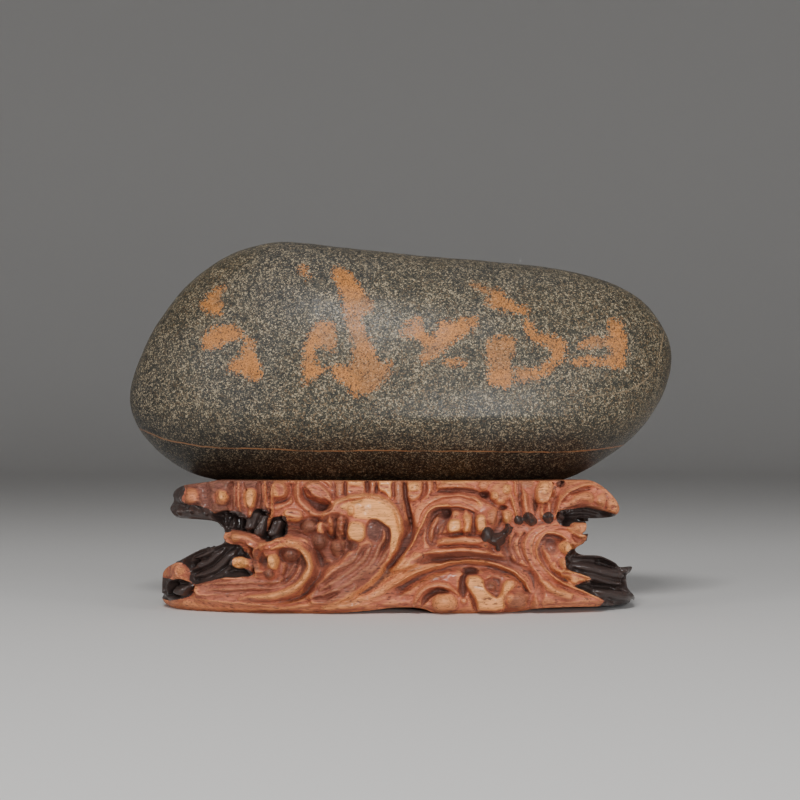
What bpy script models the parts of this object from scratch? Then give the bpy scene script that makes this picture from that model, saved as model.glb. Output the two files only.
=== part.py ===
"""A scholar's rock on its carved wooden stand.

Metres, +Z up, the stand's underside on z = 0, the middle of the pair on x = 0, y = 0.
The stone is one smooth cobble. The stand is one block of wood, carved as a band of wave curls
round an oval, with a hollow in its top that the stone rests in.
"""

import math

import bmesh
import bpy
import numpy as np

# ---------------------------------------------------------------------------------------------
# Driving dimensions, in metres
# ---------------------------------------------------------------------------------------------

STONE_CENTRE_X = 0.008  # where the stone is deepest, front to back
STONE_CENTRE_Z = 0.104
STONE_HALF_DEPTH = 0.060
STONE_HALF_LENGTH = 0.150
STONE_RISE = 0.094  # from the centre to the top
STONE_DROP = 0.044  # from the centre to the underside
STONE_FULLNESS = 2.15  # 2 is an ellipsoid, and a larger power is squarer
STONE_UNDERCUT = 0.6  # how much less full it is underneath, where it turns in fast
STONE_SUBDIVISIONS = 12  # cuts along each side of the cube that the stone starts as
SEAT_GAP = 0.0004  # between the stone and the hollow that it rests in

STAND_HALF_LENGTH = 0.1320
STAND_HALF_DEPTH = 0.0545
STAND_HEIGHT = 0.0700
STAND_FULLNESS = 2.6  # the oval's power, in plan
STAND_COLUMNS = 168
STAND_ROWS = 19
CUTTER_HALF_DEPTH = 0.075  # past the carving, front and back
# How far the wall stands in from the oval at each height.
WALL_HEIGHTS = (0.0, 0.004, 0.012, 0.045, 0.062, STAND_HEIGHT)
WALL_INSETS = (0.0030, 0.0012, 0.0, 0.0, 0.0015, 0.0055)

WOOD_COLOUR = (0.27, 0.095, 0.042, 1.0)
WOOD_ROUGHNESS = 0.38
STONE_COLOUR = (0.115, 0.100, 0.078, 1.0)
STONE_ROUGHNESS = 0.55

# ---------------------------------------------------------------------------------------------
# The drawing
#
# The outlines and the carving are laid out on one front elevation, in one-point perspective
# from an eye one metre in front of the stand. u runs right and v runs down, both in drawing
# units. The back carries the same carving, where the drawing's lines of sight come out.
# ---------------------------------------------------------------------------------------------

EYE_DISTANCE = 1.0
EYE_HEIGHT = 0.097
DRAWING_SCALE = 1800.0  # units to the metre, across the middle of the stand
EYE_U, EYE_V = 400.0, 430.0

# The stone's outline, clockwise from its left end. Its underside is hidden in the stand.
STONE_OUTLINE = (
    (130.5, 398), (140, 361), (160, 321), (184, 289), (214, 264), (250, 248), (290, 242.8),
    (350, 248.5), (410, 255.5), (480, 260.5), (550, 269), (604, 281), (640, 300), (662, 328),
    (670, 355), (663, 391), (640, 429), (606, 455), (560, 478), (490, 492), (400, 496),
    (300, 492), (205, 477), (165, 457), (140, 430),
)

# What is sawn away at the stand's two ends: beside the upper beak, the notch and the lower arm.
LEFT_SAW_CUT = (
    (208, 440), (208, 479), (193, 484), (181, 488.5), (173.5, 496), (172.5, 504), (170, 511),
    (177, 518.3), (205, 520.5), (215, 522), (225, 531), (222, 543), (207, 549), (188, 556),
    (170, 566), (162.5, 580), (162, 599), (168, 606), (168, 660), (60, 660), (60, 440),
)
RIGHT_SAW_CUT = (
    (590, 440), (590, 480.5), (604, 487), (616, 499.5), (619.5, 509), (610, 517), (590, 518),
    (575, 519), (586, 522), (585, 541), (574, 551), (584, 556), (603, 557), (618, 565),
    (630, 568), (628, 582), (635.5, 599), (629, 605), (629, 660), (740, 660), (740, 440),
)
# What is cleared from under the stand, so that it stands on its two left feet and its middle.
UNDERCUTS = (
    ((383, 660), (384, 613.5), (397, 609.3), (412, 608), (424, 608), (431, 614), (432, 660)),
    ((529, 660), (530, 612), (545, 607.2), (600, 607.3), (640, 605), (680, 605), (680, 660)),
)

# The main crests of the waves: half width, height (both in metres) and the line each follows.
CRESTS = (
    (0.0060, 0.0048, ((224, 538), (246, 540), (268, 546), (292, 546), (307, 558), (303, 576),
                      (286, 589), (262, 595), (225, 594))),
    (0.0065, 0.0050, ((330, 520), (350, 505), (372, 502), (391, 514), (396, 535), (385, 561),
                      (362, 585), (328, 602))),
    (0.0060, 0.0048, ((392, 575), (412, 553), (427, 524), (446, 506), (468, 505), (480, 518),
                      (477, 535), (446, 540))),
    (0.0060, 0.0046, ((388, 592), (420, 579), (455, 569), (490, 569), (517, 580), (529, 600))),
    (0.0060, 0.0048, ((574, 538), (551, 531), (535, 543), (537, 561), (554, 579), (588, 596))),
    (0.0060, 0.0036, ((560, 512), (574, 494), (594, 492), (608, 503))),
    (0.0070, 0.0032, ((175, 603), (215, 606), (290, 607), (370, 605))),
)
# Domed knobs: centre, half width and half height on the drawing, and height in metres.
KNOBS = (
    ((195, 497), 14, 11, 0.0032), ((221, 496), 9, 11, 0.0034), ((250, 496), 9, 13, 0.0036),
    ((278, 490), 9, 11, 0.0034), ((318, 495), 13, 12, 0.0038), ((356, 489), 12, 9, 0.0026),
    ((386, 488), 10, 9, 0.0026), ((413, 488), 10, 10, 0.0032), ((502, 492), 13, 11, 0.0038),
    ((543, 492), 12, 12, 0.0038), ((445, 602), 15, 12, 0.0038), ((492, 538), 13, 11, 0.0034),
    ((355, 532), 11, 12, 0.0036),
)
# Hollows between the crests, in the same terms, with a depth in place of a height.
HOLLOWS = (
    ((252, 526), 36, 12, 0.0064), ((288, 566), 14, 17, 0.0040), ((376, 532), 10, 15, 0.0044),
    ((440, 525), 12, 14, 0.0044), ((304, 532), 16, 14, 0.0040), ((470, 588), 20, 12, 0.0036),
    ((583, 513), 26, 9, 0.0070), ((215, 565), 34, 12, 0.0050), ((556, 553), 12, 12, 0.0036),
    ((406, 520), 8, 34, 0.0030), ((340, 566), 16, 20, 0.0026), ((512, 545), 10, 16, 0.0026),
)


def clear_scene():
    for thing in list(bpy.data.objects):
        bpy.data.objects.remove(thing, do_unlink=True)


def new_collection(name, parent=None):
    collection = bpy.data.collections.new(name)
    (parent or bpy.context.scene.collection).children.link(collection)
    return collection


def new_material(name, colour, roughness):
    material = bpy.data.materials.new(name)
    material.use_nodes = True
    shader = material.node_tree.nodes["Principled BSDF"]
    shader.inputs["Base Color"].default_value = colour
    shader.inputs["Roughness"].default_value = roughness
    material.diffuse_color = colour
    return material


def new_object(name, mesh_builder, collection):
    """An object holding what the bmesh builder made, with its normals facing out."""
    bmesh.ops.recalc_face_normals(mesh_builder, faces=mesh_builder.faces)
    mesh = bpy.data.meshes.new(name)
    mesh_builder.to_mesh(mesh)
    mesh_builder.free()
    thing = bpy.data.objects.new(name, mesh)
    collection.objects.link(thing)
    return thing


# ---------------------------------------------------------------------------------------------
# Drawing to solid
# ---------------------------------------------------------------------------------------------


def reach_at(y):
    """How far a point at depth y is from the eye, as a share of the eye's distance."""
    return (EYE_DISTANCE + y) / EYE_DISTANCE


def from_drawing(u, v, y=0.0):
    """The x and z of a point of the drawing at depth y."""
    reach = reach_at(y)
    x = (u - EYE_U) / DRAWING_SCALE * reach
    z = EYE_HEIGHT - (v - EYE_V) / DRAWING_SCALE * reach
    return x, z


def to_drawing(x, y, z):
    """Where a point of the solid falls on the drawing."""
    reach = reach_at(y)
    u = EYE_U + x * DRAWING_SCALE / reach
    v = EYE_V + (EYE_HEIGHT - z) * DRAWING_SCALE / reach
    return np.array((u, v))


def smooth_path(points, steps=6, closed=False):
    """A Catmull-Rom curve through the points, as an array of (u, v)."""
    knots = np.array(points, float)
    if closed:
        knots = np.vstack((knots[-1], knots, knots[:2]))
    else:
        knots = np.vstack((2 * knots[0] - knots[1], knots, 2 * knots[-1] - knots[-2]))
    share = np.linspace(0, 1, steps, endpoint=False)[:, None]
    path = []
    for before, start, end, after in zip(knots, knots[1:], knots[2:], knots[3:]):
        path.append(0.5 * (
            2 * start
            + (end - before) * share
            + (2 * before - 5 * start + 4 * end - after) * share**2
            + (3 * start - before - 3 * end + after) * share**3
        ))
    if not closed:
        path.append(knots[-2:-1])
    return np.vstack(path)


def distance_to_path(place, path):
    """The shortest distance from one place on the drawing to a path."""
    starts, ends = path[:-1], path[1:]
    along = ends - starts
    share = ((place - starts) * along).sum(1) / np.maximum((along**2).sum(1), 1e-9)
    nearest = starts + np.clip(share, 0, 1)[:, None] * along
    return np.hypot(*(place - nearest).T).min()


def dome(distance):
    """1 in the middle, falling smoothly to 0 at a distance of 1."""
    return max(0.0, 1.0 - distance * distance) ** 1.5


def relief_at(place, crest_paths):
    """How far the carving stands out from the wall at a place on the drawing."""
    relief = 0.0
    for half_width, height, path in crest_paths:
        distance = distance_to_path(place, path) / (half_width * DRAWING_SCALE)
        relief = max(relief, height * dome(distance))
    for centre, half_wide, half_high, height in KNOBS:
        distance = math.hypot((place[0] - centre[0]) / half_wide, (place[1] - centre[1]) / half_high)
        relief = max(relief, height * dome(distance))
    for centre, half_wide, half_high, depth in HOLLOWS:
        distance = math.hypot((place[0] - centre[0]) / half_wide, (place[1] - centre[1]) / half_high)
        relief -= depth * dome(distance)
    return relief


# ---------------------------------------------------------------------------------------------
# The stone
# ---------------------------------------------------------------------------------------------


def stone_reaches():
    """The outline as a direction from the stone's centre and a distance, in order of direction."""
    outline = np.array([from_drawing(u, v) for u, v in smooth_path(STONE_OUTLINE, closed=True)])
    away = outline - (STONE_CENTRE_X, STONE_CENTRE_Z)
    directions = np.arctan2(away[:, 1], away[:, 0])
    order = np.argsort(directions)
    return directions[order], np.hypot(*away[order].T)


def add_stone(name, collection, grown=0.0):
    """The cobble: a ball stretched to size, whose edge takes the drawn outline's shape.

    grown moves its whole skin out by that much.
    """
    directions, distances = stone_reaches()
    builder = bmesh.new()
    bmesh.ops.create_cube(builder, size=2)
    bmesh.ops.subdivide_edges(builder, edges=builder.edges, cuts=STONE_SUBDIVISIONS, use_grid_fill=True)
    for vert in builder.verts:
        # Equal angles along the cube's sides give faces of nearly one size on the ball.
        spread = np.array([math.tan(side * math.pi / 4) for side in vert.co])
        ball_x, ball_y, ball_z = spread / np.linalg.norm(spread)
        across = math.hypot(ball_x, ball_z)
        downward = max(0.0, -ball_z / max(across, 1e-9))
        fullness = STONE_FULLNESS - STONE_UNDERCUT * downward
        size = (across**fullness + abs(ball_y) ** fullness) ** (1 / fullness)
        x = STONE_HALF_LENGTH * ball_x / size
        z = (STONE_RISE if ball_z > 0 else STONE_DROP) * ball_z / size
        direction = math.atan2(z, x)
        outline = np.interp(direction, directions, distances, period=2 * math.pi) * across / size
        edge_share = (across / size) ** 2
        reach = (1 - edge_share) * math.hypot(x, z) + edge_share * outline + grown * across / size
        vert.co.x = STONE_CENTRE_X + reach * math.cos(direction)
        vert.co.z = STONE_CENTRE_Z + reach * math.sin(direction)
        vert.co.y = (STONE_HALF_DEPTH + grown) * ball_y / size
    return new_object(name, builder, collection)


# ---------------------------------------------------------------------------------------------
# The stand
# ---------------------------------------------------------------------------------------------


def oval(count):
    """Evenly spaced points round the stand's plan, each with its outward normal."""
    turn = np.linspace(0, 2 * math.pi, 7201)
    cosine, sine = np.cos(turn), np.sin(turn)
    power = 2 / STAND_FULLNESS
    x = STAND_HALF_LENGTH * np.sign(cosine) * np.abs(cosine) ** power
    y = STAND_HALF_DEPTH * np.sign(sine) * np.abs(sine) ** power
    along = np.concatenate(([0], np.cumsum(np.hypot(np.diff(x), np.diff(y)))))
    stops = np.linspace(0, along[-1], count, endpoint=False)
    x, y = np.interp(stops, along, x), np.interp(stops, along, y)
    tangent_x, tangent_y = np.roll(x, -1) - np.roll(x, 1), np.roll(y, -1) - np.roll(y, 1)
    length = np.hypot(tangent_x, tangent_y)
    return np.stack((x, y), 1), np.stack((tangent_y / length, -tangent_x / length), 1)


def add_block(name, collection):
    """The carved band before it is sawn: a closed oval drum whose wall carries the relief."""
    builder = bmesh.new()
    bmesh.ops.create_cone(
        builder, cap_ends=True, cap_tris=True, segments=STAND_COLUMNS, radius1=1, radius2=1, depth=1
    )
    for row in range(1, STAND_ROWS):
        bmesh.ops.bisect_plane(
            builder,
            geom=builder.verts[:] + builder.edges[:] + builder.faces[:],
            plane_co=(0, 0, row / STAND_ROWS - 0.5),
            plane_no=(0, 0, 1),
        )
    places, normals = oval(STAND_COLUMNS)
    crest_paths = [(half_width, height, smooth_path(line)) for half_width, height, line in CRESTS]
    for vert in builder.verts:
        z = (vert.co.z + 0.5) * STAND_HEIGHT
        if math.hypot(vert.co.x, vert.co.y) < 0.5:
            vert.co = (0, 0, z)
            continue
        column = round(math.atan2(vert.co.y, vert.co.x) / (2 * math.pi) * STAND_COLUMNS) % STAND_COLUMNS
        place, normal = places[column], normals[column]
        out = -np.interp(z, WALL_HEIGHTS, WALL_INSETS)
        if 0 < z < STAND_HEIGHT - 1e-6:
            out += relief_at(to_drawing(place[0], place[1], z), crest_paths)
        vert.co = (*(place + out * normal), z)
    return new_object(name, builder, collection)


def add_saw_cut(name, outline, collection):
    """A cutter right through the stand whose sides follow the drawing's lines of sight."""
    builder = bmesh.new()
    rings = []
    for y in (-CUTTER_HALF_DEPTH, CUTTER_HALF_DEPTH):
        corners = [from_drawing(u, v, y) for u, v in outline]
        ring = [builder.verts.new((x, y, z)) for x, z in corners]
        builder.faces.new(ring)
        rings.append(ring)
    near, far = rings
    for index, corner in enumerate(near):
        builder.faces.new((near[index - 1], corner, far[index], far[index - 1]))
    return new_object(name, builder, collection)


def cut(thing, cutter):
    modifier = thing.modifiers.new(cutter.name, "BOOLEAN")
    modifier.operation = "DIFFERENCE"
    modifier.solver = "EXACT"
    modifier.object = cutter


def add_stand(collection, cutters):
    stand = add_block("stand", collection)
    cut(stand, add_saw_cut("left_end", LEFT_SAW_CUT, cutters))
    cut(stand, add_saw_cut("right_end", RIGHT_SAW_CUT, cutters))
    for index, outline in enumerate(UNDERCUTS, 1):
        cut(stand, add_saw_cut(f"undercut_{index}", outline, cutters))
    cut(stand, add_stone("seat", cutters, grown=SEAT_GAP))
    return stand


def main():
    clear_scene()
    collection = new_collection("scholars_rock")
    cutters = new_collection("cutters", collection)

    stone = add_stone("stone", collection)
    stone.data.materials.append(new_material("stone", STONE_COLOUR, STONE_ROUGHNESS))
    stand = add_stand(collection, cutters)
    stand.data.materials.append(new_material("wood", WOOD_COLOUR, WOOD_ROUGHNESS))

    for helper in cutters.objects:
        helper.hide_render = True
        helper.display_type = "WIRE"


if __name__ == "__main__":
    main()
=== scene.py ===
"""A scholar's rock on its carved stand: the finished surfaces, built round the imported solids.

Metres, +Z up. The stone and the stand each replace the plain solid of the same name.
"""

import math

import bpy
import numpy as np
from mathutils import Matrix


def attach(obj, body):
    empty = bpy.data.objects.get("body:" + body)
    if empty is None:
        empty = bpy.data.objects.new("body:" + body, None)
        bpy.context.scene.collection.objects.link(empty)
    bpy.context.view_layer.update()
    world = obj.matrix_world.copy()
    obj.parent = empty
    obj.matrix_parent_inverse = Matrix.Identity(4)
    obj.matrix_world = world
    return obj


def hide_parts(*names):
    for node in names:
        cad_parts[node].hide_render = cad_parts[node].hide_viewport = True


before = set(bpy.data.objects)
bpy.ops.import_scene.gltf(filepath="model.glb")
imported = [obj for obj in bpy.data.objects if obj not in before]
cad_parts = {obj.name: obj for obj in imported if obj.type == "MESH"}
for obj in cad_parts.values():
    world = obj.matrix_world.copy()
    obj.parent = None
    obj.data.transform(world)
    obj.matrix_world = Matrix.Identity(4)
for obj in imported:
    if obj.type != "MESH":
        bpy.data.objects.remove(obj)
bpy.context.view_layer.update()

bl_info = {
    "name": "Scholar's rock on a carved stand",
    "version": (1, 0, 0),
    "blender": (4, 5, 0),
    "location": "3D View > Sidebar > Rock",
    "description": "Builds a river stone, its wave-carved wooden stand and a plain studio",
    "category": "Add Mesh",
}

MM = 0.001

# ---------------------------------------------------------------------------------------------
# The drawing that the outlines and the carving are laid out on: a front elevation in one-point
# perspective, from an eye one metre in front of the stand's middle. u runs right and v down.
# ---------------------------------------------------------------------------------------------

EYE_DISTANCE = 1.0
EYE_HEIGHT = 0.097
DRAWING_SCALE = 1800.0  # units to the metre, across the middle of the stand
EYE_U, EYE_V = 400.0, 430.0
DRAWING_WIDTH = 800.0

DRIFT_CELLS = 96  # the smooth noise repeats after so many cells
FACET_CELLS = 128  # and the chisel facets after so many


def reach_at(y):
    """How far a point at depth y is from the eye, as a share of the distance to the middle."""
    return (EYE_DISTANCE + y) / EYE_DISTANCE


def from_drawing(u, v, y=0.0):
    """The x and z of a place on the drawing, at depth y."""
    reach = reach_at(y)
    x = (u - EYE_U) / DRAWING_SCALE * reach
    z = EYE_HEIGHT - (v - EYE_V) / DRAWING_SCALE * reach
    return x, z


def to_drawing(points):
    """Where points of the solid fall on the drawing. The back wall's carving lies behind the front's."""
    reach = reach_at(points[:, 1])
    u = EYE_U + points[:, 0] * DRAWING_SCALE / reach
    v = EYE_V + (EYE_HEIGHT - points[:, 2]) * DRAWING_SCALE / reach
    return np.stack((u, v), 1)


def smooth_path(points, steps=6, closed=False):
    """A Catmull-Rom curve through the points."""
    knots = np.array(points, float)
    if closed:
        knots = np.vstack((knots[-1], knots, knots[:2]))
    else:
        knots = np.vstack((2 * knots[0] - knots[1], knots, 2 * knots[-1] - knots[-2]))
    share = np.linspace(0, 1, steps, endpoint=False)[:, None]
    path = []
    for before, start, end, after in zip(knots, knots[1:], knots[2:], knots[3:]):
        path.append(0.5 * (
            2 * start
            + (end - before) * share
            + (2 * before - 5 * start + 4 * end - after) * share**2
            + (3 * start - before - 3 * end + after) * share**3
        ))
    if not closed:
        path.append(knots[-2:-1])
    return np.vstack(path)


def measure_path(u, v, path):
    """Each place's distance to a path, its signed side and how far along it lies, from 0 to 1."""
    steps = np.hypot(*np.diff(path, axis=0).T)
    total = max(steps.sum(), 1e-9)
    nearest = np.full(u.shape, np.inf)
    side, progress = np.zeros(u.shape), np.zeros(u.shape)
    before = 0.0
    for (u0, v0), (u1, v1), step in zip(path[:-1], path[1:], steps):
        if step < 1e-9:
            continue
        along_u, along_v = (u1 - u0) / step, (v1 - v0) / step
        away_u, away_v = u - u0, v - v0
        along = np.clip(away_u * along_u + away_v * along_v, 0, step)
        squared = (away_u - along * along_u) ** 2 + (away_v - along * along_v) ** 2
        nearer = squared < nearest
        nearest = np.where(nearer, squared, nearest)
        side = np.where(nearer, along_u * away_v - along_v * away_u, side)
        progress = np.where(nearer, (before + along) / total, progress)
        before += step
    return np.sqrt(nearest), np.sign(side), progress


def inside_outline(u, v, outline):
    """Which places lie inside a closed outline."""
    inside = np.zeros(u.shape, bool)
    for (u0, v0), (u1, v1) in zip(outline, np.roll(outline, -1, axis=0)):
        if v0 != v1:
            inside ^= ((v0 > v) != (v1 > v)) & (u < (u1 - u0) * (v - v0) / (v1 - v0) + u0)
    return inside


def distance_inside(u, v, outline):
    """Each place's distance to a closed outline, negative outside it."""
    distance, _, _ = measure_path(u, v, np.vstack((outline, outline[:1])))
    return np.where(inside_outline(u, v, outline), distance, -distance)


def ease(share):
    """0 to 1 with no corner at either end."""
    share = np.clip(share, 0, 1)
    return share * share * (3 - 2 * share)


def evened(grid, column, row, across, down):
    """A grid's values, evened out between the four points round each place."""
    upper = grid[row, column] * (1 - across) + grid[row, column + 1] * across
    lower = grid[row + 1, column] * (1 - across) + grid[row + 1, column + 1] * across
    return upper * (1 - down) + lower * down


def drift(u, v, cell, seed):
    """Smooth random values from -1 to 1 whose swells are about one cell wide."""
    knots = np.random.default_rng(seed).uniform(-1, 1, (DRIFT_CELLS + 1, DRIFT_CELLS + 1))
    across, down = u / cell, v / cell
    column, row = np.floor(across).astype(int), np.floor(down).astype(int)
    across, down = ease(across - column), ease(down - row)
    return evened(knots, column % DRIFT_CELLS, row % DRIFT_CELLS, across, down)


def facets(u, v, cell, seed):
    """Small flat faces, each tilted its own way, as a chisel leaves. Heights from about -1 to 1."""
    shares = np.random.default_rng(seed).uniform(0, 1, (4, FACET_CELLS, FACET_CELLS))
    column, row = np.floor(u / cell).astype(int), np.floor(v / cell).astype(int)
    nearest, height = np.full(u.shape, np.inf), np.zeros(u.shape)
    for right in (-1, 0, 1):
        for down in (-1, 0, 1):
            pick_u, pick_v, tilt_u, tilt_v = shares[
                :, (row + down) % FACET_CELLS, (column + right) % FACET_CELLS
            ]
            away_u, away_v = u / cell - column - right - pick_u, v / cell - row - down - pick_v
            squared = away_u**2 + away_v**2
            tilted = 2 * ((tilt_u - 0.5) * away_u + (tilt_v - 0.5) * away_v)
            height = np.where(squared < nearest, tilted, height)
            nearest = np.minimum(squared, nearest)
    return height


# ---------------------------------------------------------------------------------------------
# Cuts: each gives a mask from 0 to 1 over the drawing, the height it adds there in millimetres,
# its tone, from painted shade in grooves and hollows to pale cut faces, and the black stain that it leaves.
# ---------------------------------------------------------------------------------------------


class Cut:
    """A stroke of the carving. tone runs from -1, wood in painted shade, to 1, a pale cut face.

    Left out, tone stays as it was, but a groove is given painted shade that deepens with its depth.
    """

    darkest_groove = -0.75
    tone_per_height = 0.25

    def __init__(self, path, reach, height, tone=None, ebony=0.0):
        self.path = path
        self.height = height
        self.tone = tone
        if tone is None and height < 0:
            self.tone = max(self.darkest_groove, height * self.tone_per_height)
        self.ebony = ebony
        self.low = path.min(0) - reach
        self.high = path.max(0) + reach

    def mask(self, u, v):
        raise NotImplementedError


class Line(Cut):
    """A round-backed ridge along a path, or with a negative height a gouged groove.

    Over the share of its length that taper gives, each end thins and sinks to the tip's share of the whole.
    """

    tip_start, tip_width, tip_height = 0.15, 0.35, 0.4

    def __init__(self, points, half_width, height, tone=None, ebony=0.0, power=1.0, taper=0.25):
        super().__init__(smooth_path(points), half_width, height, tone, ebony)
        self.half_width = half_width
        self.power = power
        self.taper = taper

    def mask(self, u, v):
        distance, _, progress = measure_path(u, v, self.path)
        run = np.minimum(progress, 1 - progress) / self.taper
        ends = ease(run * (1 - self.tip_start) + self.tip_start)
        share = distance / (self.half_width * (self.tip_width + (1 - self.tip_width) * ends))
        profile = np.clip(1 - share * share, 0, 1) ** self.power
        return profile * (self.tip_height + (1 - self.tip_height) * ends)


class Knob(Cut):
    """An oval boss, domed or with the flat top that one cut of a chisel leaves."""

    squareness, bevel, dome = 2.7, 0.36, 0.8
    margin = 1.05

    def __init__(self, centre, half_size, height, tone=None, ebony=0.0, turn=0.0, flat=False):
        centre = np.array([centre], float)
        super().__init__(centre, max(half_size) * self.margin, height, tone, ebony)
        self.half_size = half_size
        self.turn = math.radians(turn)
        self.flat = flat

    def mask(self, u, v):
        away_u, away_v = u - self.path[0, 0], v - self.path[0, 1]
        cosine, sine = math.cos(self.turn), math.sin(self.turn)
        wide = (away_u * cosine + away_v * sine) / self.half_size[0]
        high = (away_v * cosine - away_u * sine) / self.half_size[1]
        if self.flat:
            power = self.squareness
            share = (np.abs(wide) ** power + np.abs(high) ** power) ** (1 / power)
            return ease((1 - share) / self.bevel)
        return np.clip(1 - wide * wide - high * high, 0, 1) ** self.dome


class Area(Cut):
    """A whole area raised or sunk, its edge sloping over a given width."""

    def __init__(self, points, height, edge, tone=None, ebony=0.0):
        super().__init__(smooth_path(points, steps=4, closed=True), edge, height, tone, ebony)
        self.edge = edge

    def mask(self, u, v):
        return ease(distance_inside(u, v, self.path) / self.edge + 0.5)


class Ledge(Cut):
    """A step down on one side of a path, sloping back up over a width."""

    end_share, lip_width, slope = 0.12, 1.8, 1.2

    def __init__(self, points, width, height, side, tone=None):
        super().__init__(smooth_path(points), width, height, tone)
        self.width = width
        self.side = side

    def mask(self, u, v):
        distance, side, progress = measure_path(u, v, self.path)
        ends = ease(np.minimum(progress, 1 - progress) / self.end_share)
        signed = distance * side * self.side
        rise = ease(signed / self.lip_width + 0.5)
        return rise * np.clip(1 - signed / self.width, 0, 1) ** self.slope * ends


FOOT_EDGE = (
    (140, 590), (162, 601), (169, 606.5), (185, 610), (210, 612.5), (250, 614), (300, 614.3), (340, 613),
    (370, 610.5), (390, 608), (410, 607.3), (424, 609), (433, 612.5), (446, 614), (475, 614), (503, 612.8),
    (522, 611), (534, 608.8), (560, 607.3), (600, 606.3), (620, 605), (650, 602), (700, 600),
)

UPPER_LEFT_HORN = (
    # Painted shade: the horn's whole area is toned dark, as it turns away round the end.
    Area(((176, 487), (191, 482), (207, 480), (232, 476), (262, 476), (274, 478), (274, 508), (264, 514),
          (250, 519), (240, 514), (222, 514), (205, 509), (192, 505), (180, 502)), 0.6, 6, -0.85),
    Area(((166, 484), (182, 484), (185, 491), (181, 500), (187, 505), (194, 505.5), (203, 507.5),
          (213, 513), (224, 522), (226, 531), (212, 528), (175, 526), (162, 508)), -1.0, 3, ebony=1.0),
    Line(((171, 511), (186, 512.5), (200, 514.5), (217, 520)), 5.0, 1.6, ebony=0.8, power=0.6),
    Knob((178, 509.5), (6, 6), 2.2, ebony=0.5),
    Knob((191, 509.5), (5.6, 4.8), 2.6, ebony=0.5),
    Knob((205.5, 512), (6, 4.2), 2.2, ebony=0.5, turn=15),
    Knob((190, 495.5), (10.5, 9.5), 2.2, -0.05),
    Knob((199.5, 501), (2.6, 2.4), 1.2),
    Line(((206, 484), (205.5, 496), (210, 509)), 7.0, -1.4, -0.85),
    Knob((220.5, 497), (8.8, 8.8), 2.6, 0.0),
    Knob((222.3, 495.5), (5.2, 5.6), 0.6, 0.75, flat=True),
    Line(((232, 480), (232, 498), (229.5, 514)), 5.2, -2.6, -0.62),
    Line(((238.4, 482), (238.2, 500), (240, 512)), 3.6, 1.4, -0.15),
    Line(((243.6, 482), (243, 499), (246, 514)), 3.2, -1.6, -0.5),
    Knob((250.2, 498), (7.8, 12), 3.0, 0.62, flat=True),
    Line(((250.5, 506), (250, 518)), 4.0, 1.4, 0.05),
    Line(((260, 479), (260, 496), (257.5, 511)), 4.6, -2.4, -0.62),
    # A raised ridge; its pale tone is partly a painted highlight.
    Line(((264.6, 480), (265.6, 497), (268, 510)), 2.6, 2.0, 0.2),
    Line(((270, 478), (269.8, 498), (270, 514)), 2.6, -2.2, -0.6),
    Knob((279, 489.5), (8.6, 9.6), 2.2, 0.35, flat=True),
    Knob((277, 491), (3.8, 6.5), 0.8, 0.75),
    Line(((289, 479), (290, 491), (286, 500), (273, 504)), 3.0, -2.0, -0.4),
    Line(((272, 510), (282, 506), (293, 500)), 3.0, 1.2),
)

LEFT_CLAWS = (
    Area(((213, 515), (230, 511), (241, 513.5), (249, 519), (255, 510.5), (262, 509.5), (268, 512.5),
          (270, 519), (285, 517), (286, 534), (276, 538), (262, 541), (248, 534), (232, 532), (223, 531),
          (216, 522)), -6.0, 3, ebony=1.0),
    Line(((258.5, 511), (254.5, 520), (249.5, 531)), 5.0, 5.6, ebony=0.5, power=0.5, taper=0.16),
    Line(((266, 513), (263, 525), (259, 538)), 4.6, 5.6, ebony=0.5, power=0.5, taper=0.16),
    Line(((280.5, 518), (278, 527), (273, 537)), 5.2, 5.6, ebony=0.5, power=0.5, taper=0.16),
    Line(((272.5, 484), (272.5, 502), (271, 516), (267.5, 531)), 2.3, 4.4, 0.35, ebony=-1.0),
    Line(((228, 514), (227, 530)), 3.0, 1.6),
    Line(((235, 514), (235, 531)), 3.0, 2.4),
    Line(((242, 516), (243, 532)), 2.6, 2.4),
)

SMALL_SWIRL = (
    Line(((299, 478), (297.5, 488), (298.5, 499), (306, 509), (315.5, 514), (326, 514), (332, 509)), 3.4,
         2.0, 0.12),
    Line(((293.5, 480), (292.5, 492), (295, 504)), 2.6, -1.6, -0.35),
    Area(((302.5, 486), (303, 497), (308.5, 504.5), (317, 511), (327, 512), (332.5, 506), (327, 501),
          (314, 497), (308, 490)), -2.8, 3, -0.5),
    Knob((325, 507.5), (8, 5), -1.6, -1.0, turn=25),
    Area(((305, 487), (309, 483), (318, 482), (326, 488), (332, 499), (327, 504.5), (317, 501), (308, 496)),
         2.6, 3.4, 0.62),
    Line(((309, 486.5), (318, 488), (328, 497)), 1.4, -0.7),
    Line(((308.5, 491), (318, 494), (328, 502)), 1.3, -0.7),
    Line(((317, 480), (327, 481.5), (333, 489), (334, 497)), 2.2, 1.5, 0.0),
)

KNUCKLES = (
    Area(((284, 521), (300, 520), (316, 517), (330, 525), (348, 538), (352, 548), (330, 566), (318, 566),
          (312, 553), (300, 546), (284, 545)), -3.0, 6, -0.62),
    Line(((284, 528), (298, 529.5), (311, 536)), 2.0, 1.0),
    Line(((284, 534.5), (298, 536.5), (311, 543)), 2.0, 1.0),
    Line(((284, 541), (296, 542), (306, 547)), 1.8, 0.8),
    Knob((292.5, 515.5), (11.5, 7.4), 2.8, 0.7, flat=True),
    Line(((283, 513.5), (295, 512.5), (304, 514)), 1.2, -0.6),
    Line(((284, 518.5), (295, 517.5), (304, 519)), 1.2, -0.6),
    Knob((309, 526), (8.4, 7.4), 3.0, -0.78),
    Knob((322, 528), (6.4, 7.4), 3.2, 0.7, flat=True),
    Knob((319.5, 540.5), (8.4, 10), 3.6, -0.85),
    Knob((338, 546.5), (7.6, 10.5), 3.2, -0.7),
    Line(((327, 561), (334, 560), (342, 554)), 3.0, 1.0, -0.5),
)

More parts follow.
